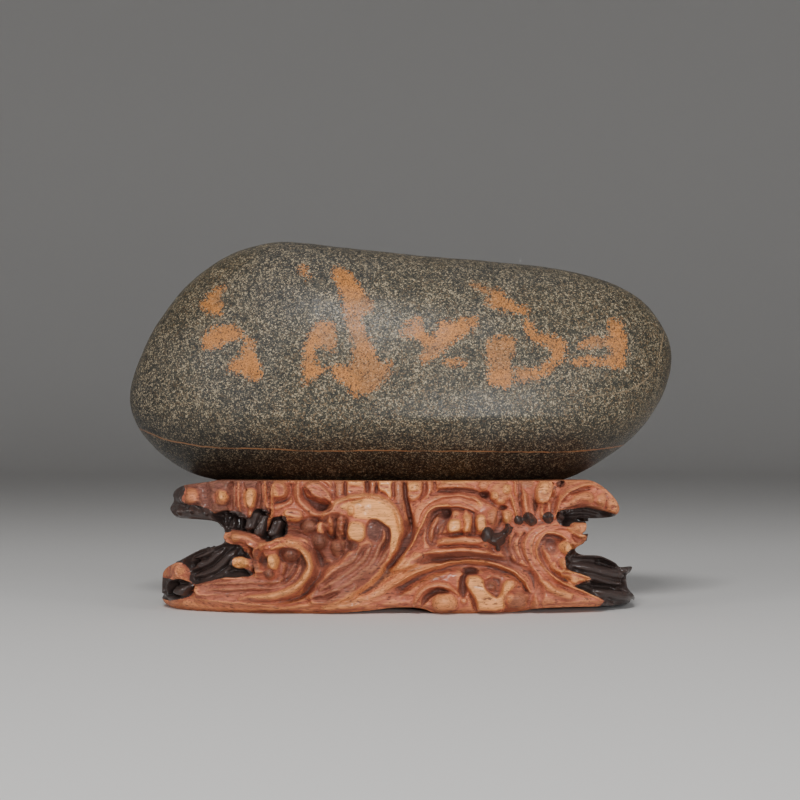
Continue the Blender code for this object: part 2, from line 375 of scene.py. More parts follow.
LEFT_BEAK = (
    Area(((221, 546), (240, 544), (250, 551), (253, 572), (240, 576.5), (224, 577), (205, 581), (193, 582),
          (183, 566), (200, 551)), -3.4, 4, ebony=1.0),
    Area(((172, 560), (200, 546), (224, 541), (228, 550), (205, 562), (192, 577), (188, 568), (178, 563)),
         0.2, 4, ebony=1.0),
    Line(((228, 537.5), (240, 538), (252, 541.5), (266, 548)), 8.4, 4.0, -0.15, ebony=-1.0, taper=0.12),
    Knob((234, 538), (8, 4.0), 0.6, 0.25),
    Line(((243, 545), (252, 551), (258, 560)), 5.4, 2.4, 0.0, ebony=-1.0),
    Line(((241, 563), (252, 565), (261, 572)), 6.2, 3.2, 0.2, ebony=-1.0),
    Knob((240, 562.5), (8.6, 6.8), 2.6, 1.0, ebony=-1.0, flat=True),
    Line(((193, 579), (214, 570), (230, 556), (238, 547)), 3.6, 2.6, power=0.7),
    Line(((190, 571), (208, 563), (226, 547)), 3.2, 2.4, power=0.7),
    Line(((200, 580.5), (225, 576), (250, 575)), 3.4, 2.2, power=0.7),
    Line(((186, 564), (204, 555), (222, 545)), 2.4, 1.8),
    Line(((214, 577), (232, 567), (238, 556)), 2.2, 1.6),
    Knob((197.5, 563), (4.6, 5), -2.4),
    Knob((186, 559.5), (6, 4), 1.4),
)

LEFT_CURL = (
    Area(((247, 557), (258, 546), (275, 539), (292, 537.5), (307, 543), (316, 556), (316, 573), (306, 587),
          (290, 597), (262, 603), (222, 602), (193, 597), (192, 585), (213, 581.5), (226, 577), (250, 577)),
          3.0, 9),
    Area(((192, 582), (226, 578), (252, 578), (272, 581), (279, 572), (279, 556), (281, 549), (289, 547),
          (297, 551), (302, 559), (303, 568), (299, 578), (290, 587), (274, 592.5), (245, 594.5),
          (215, 594), (196, 590)), -1.7, 7, -0.48),
    Line(((251, 551), (264, 544.5), (280, 540), (296, 541), (308, 547)), 2.2, 1.2, 0.2),
    Line(((255, 546), (270, 540), (285, 537.5), (299, 539), (311, 545)), 1.8, 0.8, 0.1),
    Line(((271, 549), (288, 545), (299, 548.5), (307, 557), (309.5, 567), (305, 578), (294, 588),
          (278, 595), (262, 598), (238, 599.5)), 5.0, 2.6, 0.48, taper=0.16),
    Area(((278, 556), (280.5, 550), (288, 548), (295.5, 551), (301, 558), (303, 566), (299, 575),
          (291, 582), (284, 583), (283, 575), (286, 567), (281, 562)), -2.0, 5, -0.62),
    Line(((281, 562), (285, 566), (283, 576)), 2.0, 1.2, -0.4),
    Knob((289.5, 554), (9.6, 8.6), 3.6, -0.8),
    Line(((297.5, 555), (300, 564), (296, 575), (288, 583)), 2.6, 1.2, -0.3),
    Knob((257.5, 561), (8.5, 12), -3.0, -0.62),
    Line(((262, 549), (258, 559), (262, 571)), 2.0, 1.2, -0.2),
    Knob((273, 562), (8.0, 8.6), 3.6, 0.75, flat=True),
    Knob((268.5, 573.5), (6.4, 6.0), 2.8, -0.75),
    Line(((194, 584), (240, 582.5), (272, 583), (286, 576.5), (295, 564)), 2.6, 1.1),
    Line(((202, 590), (245, 588.5), (275, 588), (291, 580.5), (300, 568)), 2.6, 1.1),
    Line(((212, 579), (232, 578.5), (256, 579.5)), 2.2, 1.0, -0.2),
)

LOWER_LEFT_ARM = (
    Line(((316, 548), (320, 562), (316, 580), (304, 594)), 7.0, -1.6, -0.45),
    Area(((160, 603), (185, 599), (250, 602), (310, 602), (360, 603), (384, 612), (360, 625), (160, 625)),
         0.9, 8, 0.14),
    Line(((193, 597), (230, 598), (262, 602), (292, 600), (318, 588)), 3.6, -1.2, -0.25),
    Line(((214, 601.5), (260, 605), (290, 603), (322, 594), (346, 590)), 3.0, 0.9, 0.15),
    Line(((250, 610), (290, 608), (326, 601), (352, 597)), 2.8, 0.8, 0.25),
    Line(((268, 607), (300, 603), (330, 594)), 1.2, -0.5, -0.2),
    Knob((177.5, 573.5), (14.5, 12), 3.4, -0.1, ebony=-1.0),
    Knob((181, 571), (5, 5), 0.5, 0.4),
    Area(((159, 578), (172, 580), (183, 580), (193, 585), (192, 594), (180, 598), (163, 598)), -0.6, 2.4,
         ebony=1.0),
    Knob((181, 588.5), (11, 8.4), -6.4, ebony=0.5),
    Knob((183, 589.5), (8.6, 6.4), 1.6, ebony=0.5),
    Knob((168, 586), (5.4, 8.8), 3.0, ebony=0.5),
    Line(((163, 595), (172, 598), (185, 596.5)), 3.0, 1.4, ebony=0.4),
    Line(((192, 581), (198, 588), (201, 597)), 2.8, 1.2),
    Knob((195.5, 589), (4, 3.4), 0.8, 0.2),
)

TOP_RAIL = (
    Area(((284, 476), (404, 476), (404, 500), (394, 503), (380, 496), (366, 492), (350, 494), (334, 500),
          (322, 512), (300, 516), (286, 507)), -0.6, 5, -0.18),
    Line(((339.5, 477), (339.5, 499)), 5.4, 1.6, -0.35),
    Line(((333, 482), (334, 500)), 2.6, -1.6, -0.6),
    Line(((345.6, 477), (345.4, 498)), 2.2, -2.6, -0.8),
    Area(((347, 477), (363.5, 477), (364.5, 488), (361, 498), (349, 498), (346.8, 488)), 1.6, 3, 0.12),
    Knob((355, 483), (8, 3.6), 0.7, 0.65, flat=True),
    Line(((348, 488), (356, 487), (363, 489)), 1.3, -0.6),
    Line(((348, 493), (356, 492.5), (363, 494.5)), 1.3, -0.6),
    Line(((366.5, 477), (369, 498)), 3.0, -2.4, -0.7),
    Line(((373, 477), (372, 496)), 3.8, 1.6, -0.25),
    Line(((377, 478), (376, 496)), 1.8, -2.0, -0.75),
    Area(((378, 477), (391.5, 477), (392, 488), (391, 499), (386, 493), (379, 489)), 2.2, 2.4, 0.6),
    Line(((379, 486), (391, 487)), 1.2, -0.6),
    Line(((398.5, 476), (398.5, 498), (402, 520), (404, 536)), 6.0, 2.0, -0.42, taper=0.1),
    Line(((393, 480), (393.5, 499)), 1.8, -1.6, -0.5),
    Line(((404.8, 474), (406, 498), (410, 517), (412, 530)), 2.6, -3.4, -0.7),
    Area(((406.5, 477), (421, 477), (422, 491), (415, 500), (408.5, 498), (407, 488)), 1.8, 3, 0.1),
    Knob((413.5, 487), (7.2, 5.0), 0.9, 0.72, flat=True),
    Line(((408, 493), (420, 492.5)), 1.3, -0.7),
    Line(((424, 477), (425, 490), (419, 502)), 3.0, -1.6, -0.4),
    Line(((429, 478), (429, 490), (422, 500)), 3.4, 1.4, -0.1),
    Line(((434.5, 480), (435, 492)), 1.8, -1.8, -0.5),
    Line(((437, 487), (452, 485.5), (472, 488.5)), 5.4, 2.2, 0.0),
    # Painted highlight: a pale line along the top of the beam.
    Line(((442, 481.5), (456, 481), (472, 482)), 2.4, 1.0, 0.55),
    Line(((430, 495), (450, 491), (470, 492.5), (486, 499), (498, 508)), 4.0, -2.8, -0.7),
    Line(((478, 486), (490, 484)), 6.4, 2.0, -0.05),
    Knob((484.5, 495), (6.6, 4), -2.6, -0.8),
    Knob((500.5, 492.5), (12.6, 11), 2.6, 0.2),
    Knob((507, 489), (5.4, 5), 1.4, 0.68, flat=True),
    Knob((494.5, 496), (4.8, 4.4), 1.4, 0.5, flat=True),
    Knob((501, 501.5), (6, 3), 1.0, 0.3),
    Knob((503, 507.5), (5.4, 3.4), -2.8, -0.7),
    Knob((506.8, 517), (7, 7.6), 2.8, 0.35),
    Knob((505.5, 519), (4, 4), 0.8, 0.75),
    # A raised ridge; its pale tone is partly a painted highlight.
    Line(((511.5, 494), (514, 507), (517, 519)), 2.2, 2.8, 0.4),
    Line(((518.4, 477), (519.4, 500), (521.8, 517)), 2.6, -2.6, -0.6),
    Line(((515, 478), (516, 496)), 2.4, 1.6, 0.1),
    Line(((523.4, 490), (525.5, 506), (529, 519)), 4.6, 2.4, 0.1),
    Line(((533, 492), (535.5, 515)), 3.0, -2.8, -0.7),
    Knob((527, 484), (8, 5), 1.0, -0.5),
    Area(((534.5, 494), (537, 485), (543, 480), (552, 480), (554.5, 488), (551, 499), (544, 503.5),
          (536, 502)), 3.2, 3.2, 0.3),
    # Painted highlight: a pale spot on the big glossy knob.
    Knob((545.4, 488), (5, 6.4), 0.7, 0.6),
    Line(((542, 503), (542, 519)), 2.2, 2.0, 0.15),
    Line(((549.4, 500), (548.5, 517)), 4.4, 2.0, 0.0),
    Line(((555.6, 488), (555, 502), (552.5, 516)), 2.2, -1.6, -0.4),
    Knob((560.5, 483.5), (4.8, 4.4), -4.4, -1.0),
    Knob((519, 520), (5.6, 4.8), 2.0, ebony=0.9, turn=40),
    Knob((530, 519), (8.8, 6.0), 3.0, ebony=1.0, turn=40),
    Knob((548.2, 517.6), (6.2, 6.6), 3.0, ebony=1.0, turn=-20),
)

GREAT_CURL = (
    Line(((411, 520), (406, 540), (396, 560), (381, 577), (356, 594)), 11.0, -2.6, -0.5, taper=0.10),
    Area(((322, 516), (336, 502), (352, 495), (368, 494), (385, 498), (395.5, 507), (402, 519), (402, 534),
          (397, 549), (388, 564), (374, 579), (353, 593), (331, 603), (312, 604), (310, 594), (320, 580),
          (329, 568), (344, 556), (338, 538), (324, 527)), 3.4, 6),
    Line(((322, 514), (336, 502), (352, 496.5), (368, 495), (384, 499), (394, 507), (400.5, 519),
          (401, 533), (396, 548), (387, 563)), 3.2, 1.4, 0.35, taper=0.1),
    Area(((340, 507), (352, 501.5), (366, 498.5), (382, 501), (392.5, 508.5), (399, 519), (399, 535),
          (393.5, 550), (386, 561), (380, 567), (382, 556), (387.5, 546), (389, 536), (387, 528),
          (382, 522), (374, 519.5), (364, 519), (354, 518), (351, 513)), 0.5, 3, 0.95),
    Knob((375, 531.5), (10.4, 13.2), -4.0, -1.0),
    Knob((374, 531), (7.6, 10), 2.6, -1.0),
    Line(((382, 523), (387.4, 531), (387.4, 542), (381, 555)), 3.6, -2.6, -0.85),
    Knob((356, 532), (10.8, 11.8), 3.0, 0.8, flat=True),
    Knob((350.5, 511), (4, 6), 1.2, 0.8, flat=True),
    Area(((322, 520), (330, 515), (338, 514), (347, 519), (346, 534), (344, 541), (333, 541), (324, 532)),
         -2.4, 4, -0.5),
    Line(((329.6, 516), (330, 528), (331, 537)), 3.4, 2.2, -0.05),
    Line(((341, 514), (340.5, 528), (339, 538)), 5.0, 2.4, -0.5),
    Line(((335.6, 516), (335, 537)), 1.8, -1.6, -0.8),
    *(Line(((336, v), (345, v - 0.5)), 1.3, -0.8) for v in (522, 527.5, 533)),
    Line(((345.8, 520), (345.6, 540)), 1.8, -1.8, -0.8),
    Knob((351.5, 545.5), (8, 6.6), -2.4, -0.85),
    Knob((351.5, 545.5), (5, 4.6), 3.0, -0.8),
    Area(((356, 552), (366, 546), (384, 541), (390, 548), (381, 567), (364, 584), (342, 598), (318, 603),
          (312, 596), (322, 582), (338, 568)), -1.4, 6, -0.55),
    Line(((361, 549), (352, 560), (340, 568), (326, 577), (317, 584)), 4.2, 1.7),
    Line(((371, 546), (364, 559), (351, 571), (336, 581), (320, 590)), 4.6, 2.0),
    Line(((380, 546), (373, 561), (359, 575), (342, 586), (322, 596)), 5.0, 2.2),
    Line(((388, 544), (381.5, 561), (368, 577), (351, 590), (328, 601)), 4.6, 2.0),
    Line(((393.5, 550), (386, 564), (374, 579), (357, 592), (334, 603)), 2.8, 1.4, 0.4),
)

ROUGH_SLOPE = (
    Area(((391, 568), (404, 556), (416, 552), (430, 560), (442, 566), (420, 576), (400, 585), (380, 594),
          (352, 606), (330, 613), (322, 607), (350, 595), (373, 580), (384, 569)), 1.4, 6, 0.45),
    Line(((412, 566), (395, 577), (375, 590), (352, 601)), 2.2, 0.7, 0.25),
    Line(((400, 574), (382, 585), (362, 596)), 1.4, -0.4, 0.1),
    Line(((420, 572), (398, 584), (376, 597), (352, 606)), 2.0, 0.7, 0.25),
    Line(((388, 596), (366, 604), (340, 609)), 2.0, 0.6, 0.2),
)

MIDDLE_CURL = (
    Area(((393, 571), (407, 555), (414, 536), (412, 518), (416, 505), (429, 496), (450, 491.5),
          (470, 492.5), (487, 499.5), (498, 510), (494, 528), (489, 546), (486, 555), (450, 557),
          (430, 559), (410, 567)), 2.6, 5),
    Ledge(((411, 541), (410, 524), (414, 508), (427, 497.5), (450, 492.5), (469, 493.5), (486, 500),
           (498, 511)), 12, -1.6, 1, -0.1),
    Ledge(((414, 541), (417.5, 526), (422, 512.5), (430, 504), (442, 498.5), (457, 496.5), (474, 500.5),
           (487, 510)), 9, -1.8, 1, 0.12),
    Ledge(((446, 502), (458, 501.5), (470, 505), (480, 513)), 7, -1.4, 1, 0.05),
    Line(((391, 571), (400, 561.5), (408.5, 551.5), (415.5, 540), (421.5, 527), (427, 515.5), (434, 508.5),
          (443, 506), (453, 507.5)), 3.0, 2.0, 0.55, taper=0.08),
    Ledge(((400, 561.5), (408.5, 551.5), (415.5, 540), (421.5, 527), (427, 515.5), (434, 508.5),
           (443, 506.5), (456, 507.5), (468, 509), (480, 515)), 12, -3.4, 1, -0.3),
    # Painted highlight: a pale diagonal streak on the curl's crest.
    Knob((479.5, 504.5), (5, 3), 0.8, 0.55, turn=45),
    Area(((427, 541), (427, 528), (431, 517), (439, 510), (449, 509.5), (452, 515), (446, 524), (442, 534),
          (437, 543), (431, 546)), -2.4, 4, -0.75),
    Knob((446.5, 514), (5.4, 6.6), -1.4, -1.0, turn=40),
    Line(((430.5, 543), (432, 527), (438.5, 516)), 3.4, 1.8, -0.25),
    Line(((437, 543), (440, 533), (443, 524)), 1.8, 1.2, -0.5),
    Knob((455.5, 514), (5, 3.8), 1.8, 0.15),
    Knob((454.2, 526), (8, 8.0), 3.4, 0.78, flat=True),
    Line(((466, 511), (467.5, 523), (465.5, 536)), 5.6, 2.8, 0.5),
    Line(((473.8, 513), (474.6, 524), (473.5, 536)), 3.0, -1.8, -0.75),
    Knob((481, 523), (6.6, 10.4), 3.0, 0.62, flat=True),
    Knob((492, 517), (7.4, 9), 2.4, -0.2),
    Line(((498.5, 509), (500.5, 518), (498, 527)), 2.4, -2.0, -0.7),
    Line(((434, 536), (460, 534.6), (482, 535)), 2.6, -1.6, -0.4),
    Line(((434, 541.8), (462, 540), (486, 541.5)), 4.6, 2.0, 0.15),
    Line(((430, 547.4), (465, 546.6), (490, 549)), 2.4, -1.6, -0.4),
    Line(((424, 553), (462, 550.8), (498, 555)), 4.4, 1.8, 0.1),
    Line(((412, 563), (432, 558.5), (465, 556.8), (508, 562), (524, 572)), 5.6, -2.2, -0.62, taper=0.12),
    Line(((503, 530), (505, 545), (510, 560)), 6.4, -2.2, -0.62),
)

BLACK_CLUSTER = (
    Knob((487.5, 534.5), (7.0, 8.4), 3.4, ebony=1.0, turn=20),
    Knob((497.5, 539.5), (8.6, 7.6), 3.8, ebony=1.0),
    Knob((493, 541.5), (5, 2.2), 1.2, ebony=1.0),
    Line(((493, 536), (499, 533.5), (503, 534)), 2.6, -1.4),
    Line(((500, 538), (507, 531), (512.5, 528)), 4.2, 3.0, ebony=1.0, power=0.6),
    Knob((508, 526.5), (3.6, 3.4), 2.2, ebony=1.0),
    Knob((498, 548.5), (3.4, 3.2), 2.0, ebony=1.0),
)

RIGHT_CURL = (
    Area(((588, 523), (566, 523), (552, 524), (538, 528), (527, 537), (524.5, 549), (529, 562), (537, 575),
          (535, 590), (538, 612), (604, 610), (607, 600), (580, 592), (563, 580), (567, 566), (575, 548),
          (587, 540)), 2.6, 6),
    Ledge(((572, 525.5), (554, 525.5), (540, 528), (529.5, 536), (526, 548), (530, 561), (539, 573),
           (552, 585), (566, 594)), 9, -1.8, -1, 0.0),
    Ledge(((576, 529.5), (557, 529.5), (545, 531), (535.5, 538), (532.5, 548), (535.5, 559), (545, 571),
           (556, 581)), 6, -1.4, -1, 0.12),
    Line(((569, 540), (558, 534.5), (547.5, 534), (540.5, 539.5), (537.3, 549), (539.5, 558.5),
          (545.5, 567), (556, 577.5), (571, 585.5), (588, 593), (603, 600)), 2.4, 2.4, 0.45, taper=0.1),
    Ledge(((567, 540), (556, 534.5), (546, 534.5), (540, 540), (537.3, 549), (539, 558), (545, 567),
           (556, 577.5), (571, 585.5)), 16, -3.8, -1, -0.2),
    Knob((551, 547), (7, 9), -1.8, -0.72, turn=-30),
    Line(((545, 551), (549, 562), (558, 571)), 4.0, 1.4, 0.12),
    Area(((553, 562), (562, 558), (570, 564), (572, 574), (562, 577), (550, 568)), 1.4, 3, 0.2),
    Knob((566.4, 547.8), (9.6, 6.8), 4.0, 0.72, turn=40, flat=True),
    Knob((564, 563.5), (6, 6.6), 2.2, 0.25, flat=True),
    Line(((556, 559), (562, 571)), 1.6, -1.2, -0.5),
    Area(((556, 570), (568, 570.5), (580, 574), (591, 579), (578, 583.5), (567, 581)), 2.6, 2, 0.5,
         ebony=-1.0),
    Line(((558, 573), (572, 575), (586, 579)), 1.2, -0.6),
    # A raised ridge; its pale tone is partly a painted highlight.
    Line(((540, 581), (552, 588.6), (567, 595.4), (578, 598)), 5.0, 1.8, 0.3),
    Line(((556, 583), (572, 590.5), (590, 597)), 2.4, -1.2, -0.3),
    Knob((576, 598), (4.2, 2.6), -0.8, -0.3, turn=20),
    Area(((540, 594), (560, 598), (585, 599), (604, 600), (602, 612), (540, 612)), 0.4, 5, -0.12),
    Ledge(((516, 531), (511, 542), (512.5, 553), (519, 564)), 7, -2.0, -1),
    Ledge(((524.5, 530), (518.5, 542), (520, 554), (528, 567)), 6, -2.0, -1),
    Line(((521, 565), (532, 577), (538, 590), (541, 606)), 5.0, -1.6, -0.3),
    Area(((566, 519.5), (578, 519), (588, 518), (588, 528), (580, 534), (570, 527)), 2.4, 2, 0.15),
    Line(((572, 521), (580, 531)), 1.6, 1.0, 0.3),
    Line(((566, 526), (577, 535.6), (588, 534.8)), 2.0, 2.0, 0.5),
    Line(((572, 533), (578, 540), (588, 541)), 3.2, -1.4, -0.3),
)

RIGHT_ARM = (
    Area(((568, 554), (574, 549), (590, 550), (612, 552), (640, 560), (644, 608), (622, 612), (600, 608),
          (604.5, 600), (590, 593), (575, 586), (582, 583.5), (592, 579), (580, 573.5), (568, 568.5),
          (566, 561)), -1.6, 3, ebony=1.0),
    Line(((576, 556), (596, 555.5), (611, 559.5), (622, 567)), 3.6, 2.8, power=0.6),
    Line(((590, 562), (602, 563), (614, 568)), 2.8, -3.4),
    Line(((572, 565), (592, 569), (610, 573), (624, 574)), 5.4, 2.2, power=0.7),
    Line(((580, 575), (598, 579), (616, 584)), 3.4, 1.8, power=0.7),
    Line(((578, 582.5), (598, 586), (614, 588), (624, 594)), 2.8, -3.2),
    Line(((592, 591), (612, 594), (636, 598)), 5.4, 2.4, power=0.7),
    Line(((604, 603), (620, 604), (636, 601)), 3.2, 1.2),
    Line(((620, 570), (622, 580), (620, 590)), 3.2, -2.2),
    Knob((627, 570), (6, 4.4), 2.4, ebony=0.5),
    Line(((626, 577), (629, 586), (632, 594)), 3.0, 1.8),
)

RIGHT_BEAK = (
    Area(((554, 516), (556, 500), (568, 485), (586, 476), (606, 480), (622, 497), (625, 513), (612, 519),
          (602, 510), (582, 506), (568, 509.5), (560, 518)), 2.4, 6),
    Line(((555.6, 515), (558.5, 503), (567, 493), (580, 486.5), (592, 484.5), (600, 488)), 2.8, 1.8, 0.15),
    Line(((563, 503), (571, 495), (582, 490), (592, 489)), 2.2, -1.4, -0.3),
    Line(((566, 504), (577, 498.4), (590, 498), (598, 502)), 6.6, 2.4, 0.08),
    Line(((598, 490), (598.5, 498), (595, 505)), 2.0, -1.2, -0.25),
    Knob((602, 500), (6.6, 8), 1.9, 0.1),
    Knob((612.5, 505.5), (7, 8.6), 1.9, 0.28, turn=-15),
    Line(((606, 492), (607.5, 501), (605, 510)), 1.8, -1.5, -0.35),
    Knob((611, 507), (3, 3.6), -0.7, -0.15),
    Line(((560, 514), (567, 507.6), (580, 505.4), (596, 507.4), (608, 513)), 2.6, 0.8, -0.4),
    Area(((557, 516), (562, 511), (573, 509), (590, 508.5), (602, 511.5), (613, 514.6), (622, 517),
          (600, 524), (574, 522), (568, 526), (560, 524)), -4.2, 2.2, ebony=1.0),
    Line(((566, 515), (580, 512.5), (600, 515)), 2.8, 1.6),
    Knob((564, 517.5), (5, 5.4), -1.8),
)

# The foot's slight dark tone is painted shade where it turns under.
FOOT = (Line(FOOT_EDGE, 4.5, -1.6, -0.1, power=1.4, taper=0.001),)

ARCH_EDGE = (
    (386, 590), (400, 583), (414, 574.5), (436, 566.5), (457, 562.3), (472, 561.5), (489, 563.5),
    (506, 568.5), (519, 577), (527, 588), (530, 603),
)
LOWER_ARCH = (
    Ledge(ARCH_EDGE, 24, -3.6, 1, -0.12),
    Line(ARCH_EDGE, 3.0, 2.0, 0.35, taper=0.08),
    Line(((400, 597), (416, 588), (430, 578), (448, 572.5)), 5.0, 0.9, 0.1),
    Line(((414, 606), (418.5, 595), (427, 587.5), (438, 585), (449, 587.5), (458, 595)), 4.2, 2.6, 0.0),
    Line(((421.5, 606), (426.5, 597.5), (437, 591), (449, 593)), 4.0, -2.4, -0.62),
    Knob((444.5, 603), (14, 11), 4.2, 0.4),
    Knob((470, 571.5), (9.4, 5), -2.4, -0.85),
    Line(((466, 573), (463, 584), (463.5, 598)), 5.4, -2.8, -0.8),
    Knob((463.5, 600.5), (3.6, 3.2), 1.6, 0.1, flat=True),
    Line(((470, 592), (474, 602), (476, 612)), 3.4, -1.2, -0.35),
    Area(((466.5, 584), (466, 578.5), (470, 575.5), (478, 575.5), (483, 580), (486, 587), (490, 593),
          (496, 597), (501, 593), (503, 585), (507, 580.5), (515.5, 581.5), (514.5, 587), (508, 593),
          (504.5, 600), (502, 611), (480, 611), (476, 601), (471.5, 593)), 3.6, 2.6, 0.75),
    Knob((493, 584.5), (9.6, 8.4), -2.4, -0.6),
    Knob((492, 585.5), (6.4, 6), 3.2, -0.7),
    Knob((516.5, 599), (14, 11), 3.2, -0.55),
    Knob((508.5, 598), (5.5, 7), 0.5, 0.25, turn=12),
    Line(((503, 576), (514, 580.5), (521, 589)), 4.4, 1.2, 0.05),
    Line(((521, 586), (529, 594), (528.6, 606)), 2.2, -1.6, -0.5),
)

CARVING = (
    UPPER_LEFT_HORN + LEFT_CLAWS + SMALL_SWIRL + KNUCKLES + LEFT_BEAK + LEFT_CURL + LOWER_LEFT_ARM
    + TOP_RAIL + GREAT_CURL + ROUGH_SLOPE + MIDDLE_CURL + RIGHT_CURL + BLACK_CLUSTER + RIGHT_ARM
    + RIGHT_BEAK + LOWER_ARCH + FOOT
)

# What is sawn away at the stand's two ends, and what is cleared from below its foot.
BELOW_LEFT, BELOW_RIGHT = (140, 660), (700, 660)
LEFT_SAW_CUT = (
    (238, 440), (238, 475), (236, 479.0), (222, 479.4), (207, 482), (191, 484), (182, 486), (175.5, 490),
    (173, 495), (174, 500.5), (170.5, 507), (171, 511), (175, 516), (180, 518), (200, 519.5), (213, 521),
    (220, 524), (225, 531), (223.5, 537), (224.5, 542), (217, 546), (200, 550), (186, 557), (177, 562),
    (169, 566), (164, 571), (162.5, 577), (162, 594), (162, 602), (162, 660), (60, 660), (60, 440),
)
RIGHT_SAW_CUT = (
    (556, 440), (556, 475), (558, 479.2), (574, 479.4), (588, 480.0), (596, 482.6), (603, 487), (610, 493),
    (616.5, 501), (619.5, 508), (618, 513), (613, 516.5), (601, 518), (590, 518.3), (578.5, 518.3),
    (572, 519.5), (580, 521), (584.5, 521), (586.5, 525), (585, 531.5), (577.5, 535), (586, 535.5),
    (585, 541.5), (575, 549), (581, 554.5), (598, 555.5), (607, 558.5), (615.5, 563), (620, 567),
    (631.5, 566.3), (630.5, 571.5), (626.5, 575), (626.5, 582), (628, 588.5), (634, 595.5), (634.5, 600),
    (630, 604), (636, 660), (740, 660), (740, 440),
)

# The stand's block: an oval between an ellipse and a rectangle, its wall drawn in at foot and top.
STAND_HALF_LENGTH = 0.1320
STAND_HALF_DEPTH = 0.0545
STAND_HEIGHT = 0.0700
STAND_FULLNESS = 2.6  # the power of the oval, 2 being an ellipse
WALL_HEIGHTS = (0.0, 0.004, 0.012, 0.045, 0.062, STAND_HEIGHT)
WALL_INSETS = (0.0030, 0.0012, 0.0, 0.0, 0.0015, 0.0055)
CUTTER_HALF_DEPTH = 0.075
WELD = 1e-6
DRUM_CUTS = (1240, 144)  # round the wall and up it
STAND_TRIANGLES = 190000
SEAT_CUTS = 60
EDGE_ROUNDS = 4  # rounds of smoothing that show the worn edges
HOLLOW_ROUNDS = 60  # and those that find the hollows, where the wood is painted in shade

# ---------------------------------------------------------------------------------------------
# The stone's shape and markings
# ---------------------------------------------------------------------------------------------

STONE_OUTLINE = (
    (130.5, 398), (140, 361), (160, 321), (184, 289), (214, 264), (250, 248), (290, 242.8), (350, 248.5),
    (410, 255.5), (480, 260.5), (550, 269), (604, 281), (640, 300), (662, 328), (670, 355), (663, 391),
    (640, 429), (609, 455.5), (565, 478.5), (490, 492), (400, 496), (300, 492), (205, 477), (165, 457),
    (140, 430),
)
STONE_CENTRE_X = 0.008
STONE_CENTRE_Z = 0.104
STONE_HALF_DEPTH = 0.060
STONE_HALF_LENGTH = 0.150
STONE_RISE = 0.094
STONE_DROP = 0.044
STONE_FULLNESS = 2.15  # the power of its section from front to back, 2 being an ellipse
STONE_UNDERCUT = 0.6  # how much lower that power is straight down
SEAT_GAP = 0.0003

# Tan inclusions, as outlines on the drawing: those of the front, then the few of the back.
FRONT_INCLUSIONS = (
    ((224, 286), (221, 298), (222, 312), (213, 315), (201, 306), (206, 298), (214, 290)),
    ((204, 349), (203, 338), (213, 328), (228, 325), (241, 331), (241, 338), (228, 342), (214, 349)),
    ((247, 340), (254, 340), (254, 351), (261, 364), (259, 381), (244, 376), (229, 371), (230, 364),
     (239, 357)),
    ((298, 266), (306, 268), (310, 279), (303, 276)),
    ((311, 329), (320, 322), (334, 323), (336, 334), (333, 351), (321, 346), (315, 352), (317, 364),
     (326, 370), (316, 378), (307, 384), (302, 380), (303, 358), (306, 341)),
    ((334, 267), (352, 273), (358, 284), (371, 300), (373, 311), (362, 315), (364, 326), (373, 347),
     (381, 362), (390, 362), (391, 372), (380, 386), (362, 395), (350, 392), (340, 380), (331, 373),
     (334, 365), (347, 366), (353, 356), (350, 338), (344, 316), (342, 298), (336, 283)),
    ((400, 335), (405, 325), (418, 315), (422, 324), (428, 335), (436, 333), (441, 322), (457, 320),
     (477, 317), (475, 328), (462, 336), (449, 346), (440, 354), (426, 363), (419, 359), (425, 347),
     (420, 340), (409, 338)),
    ((444, 361), (455, 358), (467, 361), (464, 367), (450, 366)),
    ((471, 282), (484, 287), (497, 289), (508, 298), (517, 305), (528, 307), (526, 313), (508, 312),
     (492, 307), (487, 302), (488, 295), (476, 290)),
    ((486, 345), (492, 338), (511, 336), (515, 346), (511, 362), (515, 378), (511, 387), (494, 386),
     (487, 379), (490, 368), (485, 357)),
    ((524, 321), (532, 324), (538, 334), (553, 335), (565, 343), (565, 356), (555, 366), (544, 376),
     (522, 382), (514, 376), (519, 367), (535, 369), (548, 361), (552, 350), (545, 345), (534, 343),
     (526, 332)),
    ((607, 321), (620, 320), (625, 334), (627, 352), (623, 367), (612, 368), (598, 365), (577, 367),
     (573, 361), (590, 357), (606, 358), (611, 350), (600, 346), (582, 349), (578, 342), (594, 336),
     (609, 337)),
)
BACK_INCLUSIONS = (
    ((282, 300), (296, 296), (312, 303), (318, 320), (305, 333), (290, 326), (284, 312)),
    ((470, 340), (492, 331), (508, 338), (512, 350), (496, 362), (480, 372), (466, 366), (472, 354)),
    ((544, 302), (560, 300), (568, 308), (556, 314), (547, 311)),
)
VEIN = (
    (120, 420), (152, 434), (167, 440), (199, 446), (225, 448), (271, 449), (310, 451), (380, 450.5),
    (470, 451.5), (552, 452), (600, 449), (640, 442), (690, 430),
)
FAINT_VEIN = ((664, 330), (661, 348), (655, 368), (640, 384), (617, 393), (590, 396))
INCLUSION_REACH_U = 60  # further from an inclusion's middle than this, a place isn't measured
INCLUSION_REACH_V = 80
FAR_OUTSIDE = -40.0

# ---------------------------------------------------------------------------------------------
# Settings
# ---------------------------------------------------------------------------------------------


def length_property(name, description, default):
    return bpy.props.FloatProperty(
        name=name, description=description, default=default, subtype="DISTANCE", unit="LENGTH"
    )


def colour_property(name, description, default):
    return bpy.props.FloatVectorProperty(
        name=name, description=description, default=default, subtype="COLOR"
    )


